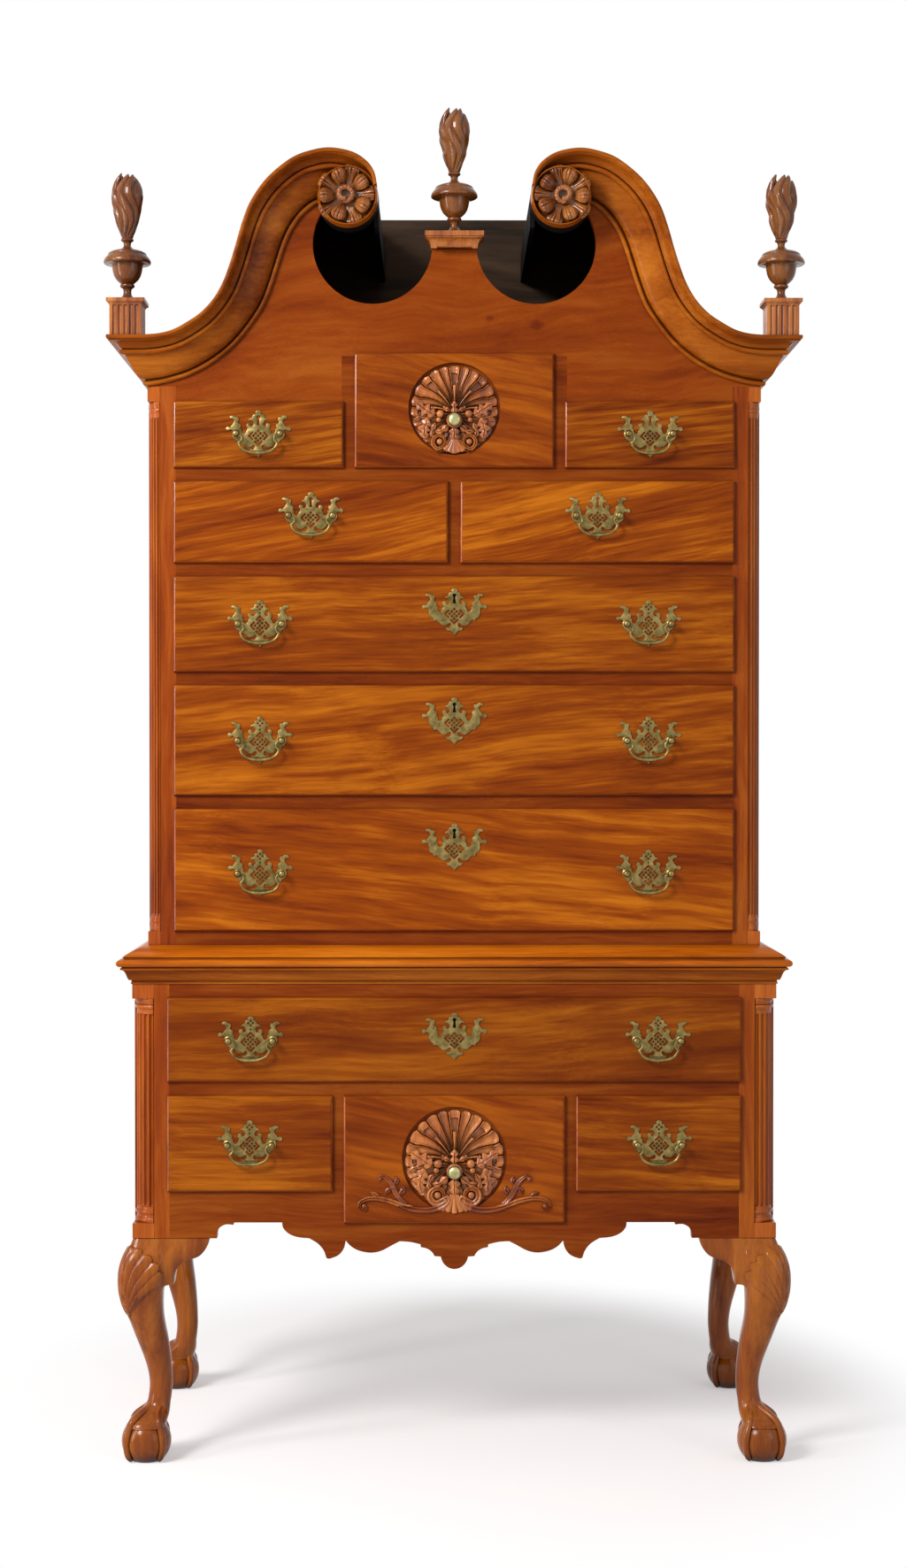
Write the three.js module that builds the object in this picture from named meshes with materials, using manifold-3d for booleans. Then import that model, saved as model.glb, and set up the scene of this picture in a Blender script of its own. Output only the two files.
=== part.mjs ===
// A bonnet-top highboy: a five-row upper case on a two-row lower case with
// cabriole legs. Millimetres, +Z up, the drawer fronts face -Y. Every length
// below is a size of the real object; the outlines are tables of shares of them.
import * as THREE from 'three';
import { mergeVertices } from 'three/addons/utils/BufferGeometryUtils.js';
import Module from 'manifold-3d';

const wasm = await Module();
wasm.setup();

// The two cases
const case_half = 556;
const case_depth = 540;
const setback = 25;
const side_t = 20;
const back_t = 12;
const front_t = 22;
const rail_deep = 28;
const bed_t = 12;
const seat_gap = 0.3;

// Heights, from the floor up
const leg_rise = 387.5;
const apron_face = 81;
const centre_face = 26.5;
const row7_height = 166;
const row6_height = 146;
const lower_rail_face = 23.5;
const waist_height = 65.5;
const waist_joint = 25.5;
const row5_height = 212.5;
const row4_height = 191.5;
const row3_height = 166;
const row2_height = 142;
const row1_height = 115;
const shell_height = 198;
const rail_face = 22.5;
const frieze_height = 26.5;
const cornice_height = 79;
const scroll_rise = 326;
const neck_rise = 158;

// Corner posts, stiles and quarter columns
const post = 64;
const lower_column_r = 33;
const upper_column_r = 22;
const upper_stile = 23;
const column_foot = 26;
const column_arc_steps = 6;

// Drawers
const lip_overlap = 4;
const lip_t = 8;
const lip_round = 5;
const lip_side_share = 0.6;
const front_inner_t = 16;
const wall_t = 12;
const floor_t = 9;
const side_play = 1.5;
const top_play = 3;
const back_play = 8;
const divider_face = 18;
const row2_divider_face = 20;
const shell_half = 173;
const row7_shell_half = 191.5;

// Pulls and knobs
const post_spacing = 76.2;
const upper_pull_inset = 150;
const lower_pull_inset = 145;
const row2_pull_lift = 10;
const row5_pull_lift = -5.5;
const axis_out = 14;
const head_r = 6;
const head_long = 13;
const neck_r = 3.4;
const pintle_r = 1.5;
const pintle_play = 0.45;
const pintle_in = 1.5;
const bail_r = 2.1;
const bail_drop = 33.5;
const knob_r = 12;
const knob_out = 24;
const shell_knob_below = 17.5;
const row7_knob_below = 19.5;

// Waist moulding, cornice, bonnet and plinths
const waist_out = 25;
const cornice_out = 65;
const cornice_side_out = 63;
const roof_t = 8;
const end_play = 4;
const path_steps = 18;
const eye_steps = 24;
const eye_r = 102;
const rosette_r = 48;
const rosette_out = 22;
const dish_r = 54;
const dish_rim = 5;
const dish_floor = 46;
const plinth_cap_half = 50.8;
const plinth_cap_h = 28;
const plinth_deep = 60;
const side_plinth = 55;
const side_plinth_h = 54;
const side_cap = 66;
const side_cap_h = 12;
const finial_h = 218.5;
const finial_r = 41;
const turning_steps = 10;
const post_steps = 6;

// Legs
const foot_r = 44;
const foot_high = 80;
const bracket_t = 30;
const leg_sides = 12;

// Levels and planes worked out from the sizes above
const z_apron = leg_rise;
const z_row7 = z_apron + apron_face;
const z_row7_centre = z_apron + centre_face;
const z_row6 = z_row7 + row7_height + lower_rail_face;
const z_waist = z_row6 + row6_height + lower_rail_face;
const z_joint = z_waist + waist_joint;
const z_waist_top = z_waist + waist_height;
const z_row5 = z_waist_top + lower_rail_face;
const z_row4 = z_row5 + row5_height + rail_face;
const z_row3 = z_row4 + row4_height + rail_face;
const z_row2 = z_row3 + row3_height + rail_face;
const z_row1 = z_row2 + row2_height + rail_face;
const z_tympanum = z_row1 + row1_height;
const z_cornice = z_tympanum + frieze_height;
const z_cornice_top = z_cornice + cornice_height;
const z_neck = z_cornice_top + neck_rise;
const upper_half = case_half - setback;
const y_lower = -case_depth;
const y_upper = y_lower + setback;
const y_back_in = -back_t;
const post_in = case_half - post;
const upper_in = upper_half - side_t;
const upper_lip = upper_half - upper_column_r - upper_stile;
const upper_open = upper_lip - lip_overlap;
const lower_lip = post_in + lip_overlap;

// Outlines as shares. The scroll's rows hold the outer point, then the inner
// point, across from it: x as a share of the cornice's half width, z as a
// share of the scroll's rise above the cornice's top edge.
const cornice_half = upper_half + cornice_side_out;
const side_share = upper_half / cornice_half;
const scroll_shares = [
  [side_share, 0, side_share, -cornice_height / scroll_rise], [0.850, 0.015, 0.837, -0.225],
  [0.806, 0.049, 0.761, -0.181], [0.758, 0.095, 0.687, -0.113],
  [0.721, 0.144, 0.633, -0.031], [0.687, 0.218, 0.581, 0.074],
  [0.661, 0.298, 0.542, 0.190], [0.641, 0.396, 0.519, 0.310],
  [0.627, 0.500, 0.503, 0.420], [0.606, 0.610, 0.485, 0.525],
  [0.584, 0.702, 0.465, 0.598], [0.534, 0.840, 0.428, 0.681],
  [0.466, 0.942, 0.391, 0.837], [0.412, 0.985, 0.365, 0.902],
  [0.363, 1.000, 0.343, 0.926], [0.295, 0.982, 0.301, 0.936],
  [0.253, 0.911, 0.259, 0.899],
];
// The bonnet roof goes on round the scroll's end and down beside the opening.
const roof_tail_shares = [[0.223, 0.794], [0.220, 0.702], [0.220, 0.600]];
const dish_centre_shares = [0.3123, 0.7791];
const eye_centre_shares = [0.2374, 0.5080];
const crest_share = 0.97;

// Across a moulding: out from the wall, then up, as shares of its two sizes.
const cornice_shares = [
  [0.00, 0.000], [0.06, 0.000], [0.10, 0.050], [0.07, 0.115], [0.14, 0.203],
  [0.20, 0.329], [0.31, 0.456], [0.46, 0.557], [0.65, 0.608], [0.65, 0.658],
  [0.77, 0.734], [0.86, 0.835], [1.00, 0.937], [1.00, 1.000], [0.00, 1.000],
];
const waist_shares = [
  [-0.80, 1.000], [-0.24, 0.878], [0.32, 0.748], [0.64, 0.664], [0.88, 0.626],
  [1.00, 0.527], [0.88, 0.427], [0.76, 0.389], [0.48, 0.321], [0.32, 0.221],
  [0.14, 0.099], [0.06, 0.000],
];

// Half of the apron's lower edge: x as a share of the width between the posts,
// z as a share of the centre drop, up from the knees.
const apron_drop = 53.7;
const apron_shares = [
  [1.000, 0.000], [0.834, 0.000], [0.833, 0.192], [0.824, 0.345],
  [0.802, 0.447], [0.776, 0.432], [0.775, 0.508], [0.605, 0.508],
  [0.601, 0.326], [0.581, 0.143], [0.550, 0.035], [0.510, -0.002],
  [0.479, -0.177], [0.459, -0.400], [0.450, -0.631], [0.439, -0.661],
  [0.407, -0.544], [0.388, -0.320], [0.382, -0.078], [0.364, -0.255],
  [0.336, -0.400], [0.296, -0.469], [0.258, -0.413], [0.217, -0.218],
  [0.192, -0.102], [0.146, -0.147], [0.119, -0.203], [0.118, -0.291],
  [0.086, -0.376], [0.070, -0.581], [0.048, -0.598], [0.038, -0.803],
  [0.020, -0.965],
];
const apron_tip_share = -1;
const side_apron_shares = [
  [1.00, 0.00], [0.78, 0.00], [0.77, 0.30], [0.72, 0.45], [0.70, 0.51],
  [0.42, 0.51], [0.38, 0.20], [0.30, 0.04], [0.16, -0.10], [0.00, -0.25],
];

// Rings of a cabriole leg: height as a share of the leg's rise, then how far
// the ring reaches past the case's corner and how far in, as shares of the
// post, and how square the ring is.
const leg_shares = [
  [1.020, -0.080, 0.980, 6], [0.995, -0.060, 0.980, 6],
  [0.924, 0.183, 0.940, 5], [0.876, 0.265, 0.910, 4],
  [0.830, 0.319, 0.875, 3.4], [0.759, 0.278, 0.836, 3],
  [0.658, 0.047, 0.866, 2.6], [0.539, -0.270, 1.016, 2.4],
  [0.418, -0.531, 1.109, 2.2], [0.307, -0.578, 1.125, 2.1],
  [0.227, -0.480, 1.067, 2.1], [0.190, -0.300, 1.000, 2.2],
  [0.150, -0.200, 0.920, 2.2],
];
const foot_centre_share = 0.4406;
// Half of a turned foot: radius, then height, as shares.
const foot_shares = [
  [0.00, 0.00], [0.68, 0.00], [0.86, 0.13], [0.98, 0.34], [1.00, 0.52],
  [0.90, 0.74], [0.66, 0.92], [0.30, 1.00], [0.00, 1.00],
];
// A knee bracket: along the apron and down, as shares of the post and of its drop.
const bracket_drop = 94;
const bracket_shares = [
  [0.60, 0.00], [2.06, 0.00], [1.66, 0.38], [1.30, 0.58], [1.14, 0.85],
  [1.05, 0.87], [0.84, 1.00], [0.60, 1.00],
];

// The urn finial: radius as a share of its brim, height as a share of it all.
const finial_shares = [
  [0.00, 0.000], [0.32, 0.000], [0.32, 0.018], [0.24, 0.036], [0.15, 0.080],
  [0.15, 0.095], [0.23, 0.108], [0.16, 0.122], [0.27, 0.135], [0.48, 0.180],
  [0.61, 0.235], [0.62, 0.270], [0.97, 0.282], [1.00, 0.300], [0.80, 0.328],
  [0.38, 0.375], [0.18, 0.395], [0.16, 0.440], [0.25, 0.460], [0.25, 0.480],
  [0.16, 0.495], [0.36, 0.560], [0.56, 0.680], [0.64, 0.790], [0.60, 0.900],
  [0.34, 0.975], [0.12, 1.000], [0.00, 1.000],
];
const rosette_shares = [
  [0.00, 0.00], [1.00, 0.00], [1.00, 0.25], [0.82, 0.72], [0.50, 0.62],
  [0.34, 0.95], [0.16, 1.00], [0.00, 1.00],
];
const knob_shares = [
  [0.00, -0.10], [0.45, -0.10], [0.42, 0.36], [0.90, 0.50], [1.00, 0.68],
  [0.80, 0.90], [0.35, 1.00], [0.00, 1.00],
];
const head_shares = [
  [0.00, 0.00], [0.55, 0.00], [1.00, 0.25], [1.00, 0.72], [0.60, 1.00],
  [0.00, 1.00],
];
// Half of a bail, from its post to its middle: x as a share of half the post
// spacing, z as a share of its drop.
const bail_shares = [
  [0.820, 0.000], [0.765, -0.115], [0.730, -0.305], [0.845, -0.470],
  [0.775, -0.735], [0.520, -0.920], [0.210, -0.990], [0.000, -1.000],
];

// Finishes
const mahogany = { color: 0x9a4a1c, roughness: 0.32, metalness: 0 };
const figured = { color: 0xa8561f, roughness: 0.28, metalness: 0 };
const carved = { color: 0x7d3c1c, roughness: 0.4, metalness: 0 };
const pine = { color: 0x5d4630, roughness: 0.75, metalness: 0 };
const brass = { color: 0xb49a5a, roughness: 0.38, metalness: 1 };

// A closed solid out of points and triangles, turned right side out.
function body(points, faces) {
  const vertProperties = new Float32Array(points.flat());
  const build = (list) => new wasm.Manifold(new wasm.Mesh({
    numProp: 3, vertProperties, triVerts: new Uint32Array(list.flat()),
  }));
  const made = build(faces);
  if (made.volume() > 0) return made;
  return build(faces.map(([a, b, c]) => [c, b, a]));
}

// A three.js geometry as a solid, with its seams and poles merged.
function solid(geometry) {
  geometry.deleteAttribute('normal');
  geometry.deleteAttribute('uv');
  const merged = mergeVertices(geometry, 1e-4);
  const at = merged.attributes.position;
  const points = [];
  for (let i = 0; i < at.count; i += 1) points.push([at.getX(i), at.getY(i), at.getZ(i)]);
  const faces = [];
  for (let i = 0; i < merged.index.count; i += 3) {
    const [a, b, c] = [0, 1, 2].map((corner) => merged.index.getX(i + corner));
    if (a !== b && b !== c && c !== a) faces.push([a, b, c]);
  }
  return body(points, faces);
}

function block(x0, x1, y0, y1, z0, z1) {
  const box = new THREE.BoxGeometry(x1 - x0, y1 - y0, z1 - z0);
  const count = box.attributes.position.count;
  // Corners are written from the limits themselves, so that neighbours that
  // share a plane share it exactly.
  for (let i = 0; i < count; i += 1) {
    const at = box.attributes.position;
    at.setXYZ(i, at.getX(i) > 0 ? x1 : x0, at.getY(i) > 0 ? y1 : y0, at.getZ(i) > 0 ? z1 : z0);
  }
  return solid(box);
}

// Triangles over a flat ring of points, wound the way the ring runs.
function cap(ring) {
  const normal = new THREE.Vector3();
  ring.forEach((p, i) => {
    const q = ring[(i + 1) % ring.length];
    normal.x += (p[1] - q[1]) * (p[2] + q[2]);
    normal.y += (p[2] - q[2]) * (p[0] + q[0]);
    normal.z += (p[0] - q[0]) * (p[1] + q[1]);
  });
  const sizes = [Math.abs(normal.x), Math.abs(normal.y), Math.abs(normal.z)];
  const drop = sizes.indexOf(Math.max(...sizes));
  const [u, v] = [0, 1, 2].filter((axis) => axis !== drop);
  const flat = ring.map((p) => new THREE.Vector2(p[u], p[v]));
  const area = THREE.ShapeUtils.area(flat);
  return THREE.ShapeUtils.triangulateShape(flat, []).map(([a, b, c]) => {
    const turn = THREE.ShapeUtils.area([flat[a], flat[b], flat[c]]);
    return turn * area > 0 ? [a, b, c] : [a, c, b];
  });
}

// A skin over a row of rings with equally many points, closed at both ends.
function loft(rings) {
  const count = rings[0].length;
  const faces = [];
  for (let ring = 0; ring + 1 < rings.length; ring += 1) {
    for (let side = 0; side < count; side += 1) {
      const a = ring * count + side;
      const b = ring * count + (side + 1) % count;
      faces.push([a, b, b + count], [a, b + count, a + count]);
    }
  }
  const last = (rings.length - 1) * count;
  cap(rings[0]).forEach(([a, b, c]) => faces.push([a, c, b]));
  cap(rings.at(-1)).forEach(([a, b, c]) => faces.push([last + a, last + b, last + c]));
  return body(rings.flat(), faces);
}

// An outline in front view, [x, z], made into a board from y0 to y1.
function board(outline, y0, y1) {
  return loft([y0, y1].map((y) => outline.map(([x, z]) => [x, y, z])));
}

// An outline in plan, [x, y], raised from z0 to z1.
function prism(outline, z0, z1) {
  return loft([z0, z1].map((z) => outline.map(([x, y]) => [x, y, z])));
}

// A turning about Z, from rows of radius and height shares.
function turning(shares, radius, height, steps = turning_steps) {
  const profile = shares.map(([r, h]) => new THREE.Vector2(r * radius, h * height));
  const lathe = new THREE.LatheGeometry(profile, steps);
  lathe.rotateX(Math.PI / 2);
  return solid(lathe);
}

// The same solid moved, turned to face -Y, or on the other side of the chest.
function mapped(made, change) {
  const mesh = made.getMesh();
  const points = [];
  for (let i = 0; i < mesh.vertProperties.length; i += 3) {
    points.push(change([...mesh.vertProperties.slice(i, i + 3)]));
  }
  const faces = [];
  for (let i = 0; i < mesh.triVerts.length; i += 3) {
    faces.push([...mesh.triVerts.slice(i, i + 3)]);
  }
  return body(points, faces);
}
const moved = (made, [dx, dy, dz]) => mapped(made, ([x, y, z]) => [x + dx, y + dy, z + dz]);
const facing_front = (made) => mapped(made, ([x, y, z]) => [x, -z, y]);
const mirrored = (made) => mapped(made, ([x, y, z]) => [-x, y, z]);
const union = (parts) => parts.reduce((whole, part) => whole.add(part));

function mesh_of(name, made, finish) {
  const mesh = made.getMesh();
  const geometry = new THREE.BufferGeometry();
  geometry.setAttribute('position', new THREE.BufferAttribute(mesh.vertProperties, 3));
  geometry.setIndex(new THREE.BufferAttribute(mesh.triVerts, 1));
  geometry.computeVertexNormals();
  const piece = new THREE.Mesh(geometry, new THREE.MeshStandardMaterial(finish));
  piece.name = name;
  return piece;
}

const highboy = new THREE.Group();
const upper_case = new THREE.Group();
const lower_case = new THREE.Group();
const drawers = new THREE.Group();
highboy.add(upper_case, lower_case, drawers);

function add_pair(group, name, right, finish) {
  group.add(mesh_of(`${name}_right`, right, finish));
  group.add(mesh_of(`${name}_left`, mirrored(right), finish));
}

// The scroll's two edges, sampled along smooth curves, for the right side.
const on_scroll = ([x, z]) => [x * cornice_half, z_cornice_top + z * scroll_rise];
function smooth(points, steps) {
  const curve = new THREE.SplineCurve(points.map(([x, z]) => new THREE.Vector2(x, z)));
  return curve.getPoints(steps).map((p) => [p.x, p.y]);
}
const outer_edge = smooth(scroll_shares.map(([x, z]) => on_scroll([x, z])), path_steps);
const inner_edge = smooth(scroll_shares.map(([, , x, z]) => on_scroll([x, z])), path_steps);
const roof_tail = roof_tail_shares.map(on_scroll);
const roof_edge = [...outer_edge, ...roof_tail];
const [dish_x, dish_z] = on_scroll(dish_centre_shares);
const [eye_x, eye_z] = on_scroll(eye_centre_shares);
const z_crest = z_cornice_top + scroll_rise * crest_share;

// A row of points moved sideways, to the inside of the scroll.
function inset(points, distance) {
  return points.map(([x, z], i) => {
    const [ax, az] = points[Math.max(i - 1, 0)];
    const [bx, bz] = points[Math.min(i + 1, points.length - 1)];
    const long = Math.hypot(bx - ax, bz - az);
    return [x - ((bz - az) / long) * distance, z + ((bx - ax) / long) * distance];
  });
}
const roof_under = inset(roof_edge, roof_t);
outer_edge[0][0] = upper_half;
roof_under[0] = [upper_half, roof_edge[0][1] - roof_t];
const tympanum_top = inset(roof_edge, roof_t + seat_gap).slice(0, outer_edge.length);
tympanum_top[0] = [upper_half, outer_edge[0][1] - roof_t - seat_gap];
const z_side_top = outer_edge[0][1] - roof_t - seat_gap;

// Upper case: sides with their stiles, cut back for the quarter columns.
const column_x = upper_half - upper_column_r;
const column_y = y_upper + upper_column_r;
const upper_side = union([
  block(upper_in, upper_half, column_y, 0, z_joint, z_side_top),
  prism([
    [upper_open, y_upper], [column_x, y_upper], [column_x, column_y],
    [upper_half, column_y], [upper_half, y_upper + rail_deep],
    [upper_open, y_upper + rail_deep],
  ], z_joint, z_cornice),
]);
add_pair(upper_case, 'upper_side', upper_side, mahogany);

// A quarter column between its square foot and cap, at a corner of a case.
function quarter_column(x, y, radius, z0, foot_top, cap_foot, z1) {
  const outline = [[x, y + radius], [x - radius, y + radius]];
  for (let step = 0; step <= column_arc_steps; step += 1) {
    const angle = (step / column_arc_steps) * (Math.PI / 2);
    const out = [Math.sin(angle), Math.cos(angle)];
    outline.push([x - radius + out[0] * radius, y + radius - out[1] * radius]);
  }
  outline.shift();
  return union([
    block(x - radius, x, y, y + radius, z0, foot_top),
    prism(outline, foot_top, cap_foot),
    block(x - radius, x, y, y + radius, cap_foot, z1),
  ]);
}
const upper_column = quarter_column(
  upper_half, y_upper, upper_column_r, z_joint, z_row5, z_tympanum, z_cornice,
);
add_pair(upper_case, 'upper_column', upper_column, mahogany);

// A front rail with its dust board: the rail's top carries the drawers.
function shelf(front_half, back_half, y_front, y_end, z_under, z_top, extra = []) {
  return union([
    block(-front_half, front_half, y_front, y_front + rail_deep, z_under, z_top),
    block(-back_half, back_half, y_front + rail_deep, y_end, z_top - bed_t, z_top),
    ...extra,
  ]);
}
const upper_shelf = (z_lip, z_lip_below, extra) => shelf(
  upper_open, upper_in, y_upper, y_back_in,
  z_lip_below - lip_overlap, z_lip + lip_overlap, extra,
);
const upper_bottom = shelf(
  upper_open, upper_in, y_upper, y_back_in, z_joint, z_row5 + lip_overlap,
);
upper_case.add(mesh_of('upper_bottom', upper_bottom, mahogany));
upper_case.add(mesh_of('row4_rail', upper_shelf(z_row4, z_row4 - rail_face), mahogany));
upper_case.add(mesh_of('row3_rail', upper_shelf(z_row3, z_row3 - rail_face), mahogany));

const z_row2_under = z_row1 - rail_face - lip_overlap;
const row2_divider_half = row2_divider_face / 2 + lip_overlap;
const row2_partition = block(
  -row2_divider_half, row2_divider_half, y_upper, y_back_in,
  z_row2 + lip_overlap, z_row2_under,
);
const row2_rail = upper_shelf(z_row2, z_row2 - rail_face, [row2_partition]);
upper_case.add(mesh_of('row2_rail', row2_rail, mahogany));

const shell_open = shell_half - lip_overlap;
const row1_open = shell_half + divider_face + lip_overlap;
const z_shell_open = z_row1 + shell_height - lip_overlap;
const z_row1_bed = z_row1 + lip_overlap;
const row1_partition = block(shell_open, row1_open, y_upper, y_back_in, z_row1_bed, z_shell_open);
const row1_rail = upper_shelf(z_row1, z_row1 - rail_face, [
  row1_partition, mirrored(row1_partition),
]);
upper_case.add(mesh_of('row1_rail', row1_rail, mahogany));
upper_case.add(mesh_of('upper_top_board', block(
  -upper_in, upper_in, y_upper + front_t, y_back_in, z_shell_open, z_shell_open + bed_t,
), pine));

// Tympanum: under the bonnet roof, with two round openings and a centre neck.
const z_row1_open = z_tympanum - lip_overlap;
const tympanum_right = [
  [0, z_shell_open], [row1_open, z_shell_open], [row1_open, z_row1_open],
  [upper_open, z_row1_open], [upper_open, z_cornice], [upper_half, z_cornice],
  ...tympanum_top, [dish_x, dish_z], [eye_x, dish_z], [eye_x, z_neck], [0, z_neck],
];
const tympanum_board = board(
  [...tympanum_right, ...tympanum_right.slice(1, -1).reverse().map(([x, z]) => [-x, z])],
  y_upper, y_upper + front_t,
);
const disc = (radius, thick) => facing_front(turning(
  [[0, 0], [1, 0], [1, 1], [0, 1]], radius, thick, eye_steps,
));
const eye = moved(disc(eye_r, front_t * 2), [eye_x, y_upper + front_t * 1.5, eye_z]);
const end_disc = moved(disc(dish_r - roof_t - end_play, front_t), [
  dish_x, y_upper + front_t, dish_z,
]);
const tympanum = tympanum_board.subtract(eye).subtract(mirrored(eye))
  .add(end_disc).add(mirrored(end_disc));
upper_case.add(mesh_of('tympanum', tympanum, mahogany));

// Bonnet roofs and the back board that closes them behind.
const roof = board([...roof_edge, ...[...roof_under].reverse()], y_upper, y_back_in);
add_pair(upper_case, 'bonnet_roof', roof, pine);
const crest = outer_edge.filter(([, z], i) => i < 1 || z <= z_crest);
const first_past = outer_edge.findIndex(([, z]) => z > z_crest);
const back_right = [
  [upper_in, z_joint], [upper_in, z_side_top], [upper_half, z_side_top],
  ...crest.slice(0, first_past),
];
const upper_back = board(
  [...back_right, ...[...back_right].reverse().map(([x, z]) => [-x, z])], y_back_in, 0,
);
upper_case.add(mesh_of('upper_back', upper_back, pine));

// Cornice: along the side, round the mitre and up the scroll to its round end.
const level_ring = (y_of) => cornice_shares.map(([out, up]) => [
  upper_half + out * (cornice_half - upper_half), y_of(out * cornice_out),
  z_cornice + up * cornice_height,
]);
const scroll_rings = outer_edge.map(([ox, oz], i) => {
  const [ix, iz] = inner_edge[i];
  return cornice_shares.map(([out, up]) => [
    ix + (ox - ix) * up, y_upper - out * cornice_out, iz + (oz - iz) * up,
  ]);
});
const cornice_skin = loft([
  level_ring(() => 0), level_ring((out) => y_upper - out), ...scroll_rings,
]);
const dish = facing_front(turning([
  [0, 0], [1, 0], [1, 1], [1 - dish_rim / dish_r, 1],
  [1 - dish_rim / dish_r, dish_floor / cornice_out], [0, dish_floor / cornice_out],
], dish_r, cornice_out, eye_steps));
const cornice = cornice_skin.add(moved(dish, [dish_x, y_upper, dish_z]));
add_pair(upper_case, 'cornice', cornice, mahogany);

// Turned and carved ornaments, each a piece of its own.
function ornament(name, made, finish, place) {
  const piece = mesh_of(name, made, finish);
  piece.position.set(...place);
  upper_case.add(piece);
}
const rosette = facing_front(turning(rosette_shares, rosette_r, rosette_out));
const rosette_y = y_upper - dish_floor - seat_gap;
ornament('rosette_right', rosette, carved, [dish_x, rosette_y, dish_z]);
ornament('rosette_left', rosette, carved, [-dish_x, rosette_y, dish_z]);

const finial = turning(finial_shares, finial_r, finial_h);
const square = (half, z0, z1) => block(-half, half, -half, half, z0, z1);
const centre_cap = block(
  -plinth_cap_half, plinth_cap_half, -plinth_deep / 2, plinth_deep / 2, 0, plinth_cap_h,
);
ornament('finial_centre', centre_cap.add(moved(finial, [0, 0, plinth_cap_h])), carved, [
  0, y_upper + front_t / 2, z_neck + seat_gap,
]);
const side_cap_z = side_plinth_h + side_cap_h;
const side_finial = union([
  square(side_plinth / 2, 0, side_plinth_h), square(side_cap / 2, side_plinth_h, side_cap_z),
  moved(finial, [0, 0, side_cap_z]),
]);
const side_finial_x = cornice_half - side_cap / 2 + seat_gap;
const side_finial_y = y_upper - cornice_out + side_cap / 2 + seat_gap;
const side_finial_z = z_cornice_top + seat_gap;
ornament('finial_right', side_finial, carved, [side_finial_x, side_finial_y, side_finial_z]);
ornament('finial_left', side_finial, carved, [-side_finial_x, side_finial_y, side_finial_z]);

// Waist moulding: round three sides of the lower case, over the joint.
const waist_back = [
  [0, z_waist], [0, z_joint], [-setback + seat_gap, z_joint],
  [-setback + seat_gap, z_waist_top],
];
const waist_profile = [
  ...waist_back, ...waist_shares.map(([out, up]) => [
    out * waist_out, z_waist + up * waist_height,
  ]),
];
const waist_moulding = loft([
  waist_profile.map(([out, z]) => [-case_half - out, 0, z]),
  waist_profile.map(([out, z]) => [-case_half - out, y_lower - out, z]),
  waist_profile.map(([out, z]) => [case_half + out, y_lower - out, z]),
  waist_profile.map(([out, z]) => [case_half + out, 0, z]),
]);
lower_case.add(mesh_of('waist_moulding', waist_moulding, mahogany));

// Lower case: rails, back, sides and the apron with the beds of row seven.
const lower_top_rail = union([
  block(-post_in, post_in, y_lower, y_lower + rail_deep, z_waist - lower_rail_face - lip_overlap, z_joint),
  block(-post_in, post_in, y_lower, y_back_in, z_joint - bed_t, z_joint),
]);
lower_case.add(mesh_of('lower_top_rail', lower_top_rail, mahogany));

const centre_open = row7_shell_half - lip_overlap;
const row7_open = row7_shell_half + divider_face + lip_overlap;
const z_row7_under = z_row6 - lower_rail_face - lip_overlap;
const z_row7_bed = z_row7 + lip_overlap;
const z_centre_bed = z_row7_centre + lip_overlap;
const row7_partition = block(
  centre_open, row7_open, y_lower, y_back_in, z_row7_bed, z_row7_under,
);
const lower_mid_rail = shelf(
  post_in, post_in, y_lower, y_back_in, z_row7_under, z_row6 + lip_overlap,
  [row7_partition, mirrored(row7_partition)],
);
lower_case.add(mesh_of('lower_mid_rail', lower_mid_rail, mahogany));
lower_case.add(mesh_of('lower_back', block(
  -post_in, post_in, y_back_in, 0, z_apron, z_joint,
), pine));

const apron_right = apron_shares.map(([x, z]) => [x * post_in, z_apron + z * apron_drop]);
const apron_half = [
  [centre_open, z_centre_bed], [centre_open, z_row7_bed], [post_in, z_row7_bed],
  ...apron_right,
];
const apron_front = board([
  ...apron_half, [0, z_apron + apron_tip_share * apron_drop],
  ...[...apron_half].reverse().map(([x, z]) => [-x, z]),
], y_lower, y_lower + front_t);
const side_bed = block(
  centre_open, post_in, y_lower + front_t / 2, y_back_in, z_row7_bed - bed_t, z_row7_bed,
);
const centre_bed = block(
  -centre_open, centre_open, y_lower + front_t / 2, y_back_in,
  z_centre_bed - bed_t, z_centre_bed,
);
const apron = union([apron_front, side_bed, mirrored(side_bed), centre_bed]);
lower_case.add(mesh_of('apron', apron, mahogany));

const side_mid = -case_depth / 2;
const side_run = case_depth / 2 - post;
const side_line = side_apron_shares.map(([y, z]) => [y * side_run, z_apron + z * apron_drop]);
const side_outline = [
  ...side_line, ...side_line.slice(0, -1).reverse().map(([y, z]) => [-y, z]),
  [-side_run, z_joint], [side_run, z_joint],
];
const lower_side = loft([case_half - side_t, case_half].map(
  (x) => side_outline.map(([y, z]) => [x, side_mid + y, z]),
));
add_pair(lower_case, 'lower_side', lower_side, mahogany);

const lower_column = quarter_column(
  case_half, y_lower, lower_column_r, z_apron, z_apron + column_foot,
  z_row6 + row6_height - lip_overlap / 2, z_joint,
);
add_pair(lower_case, 'lower_column', lower_column, mahogany);

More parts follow.
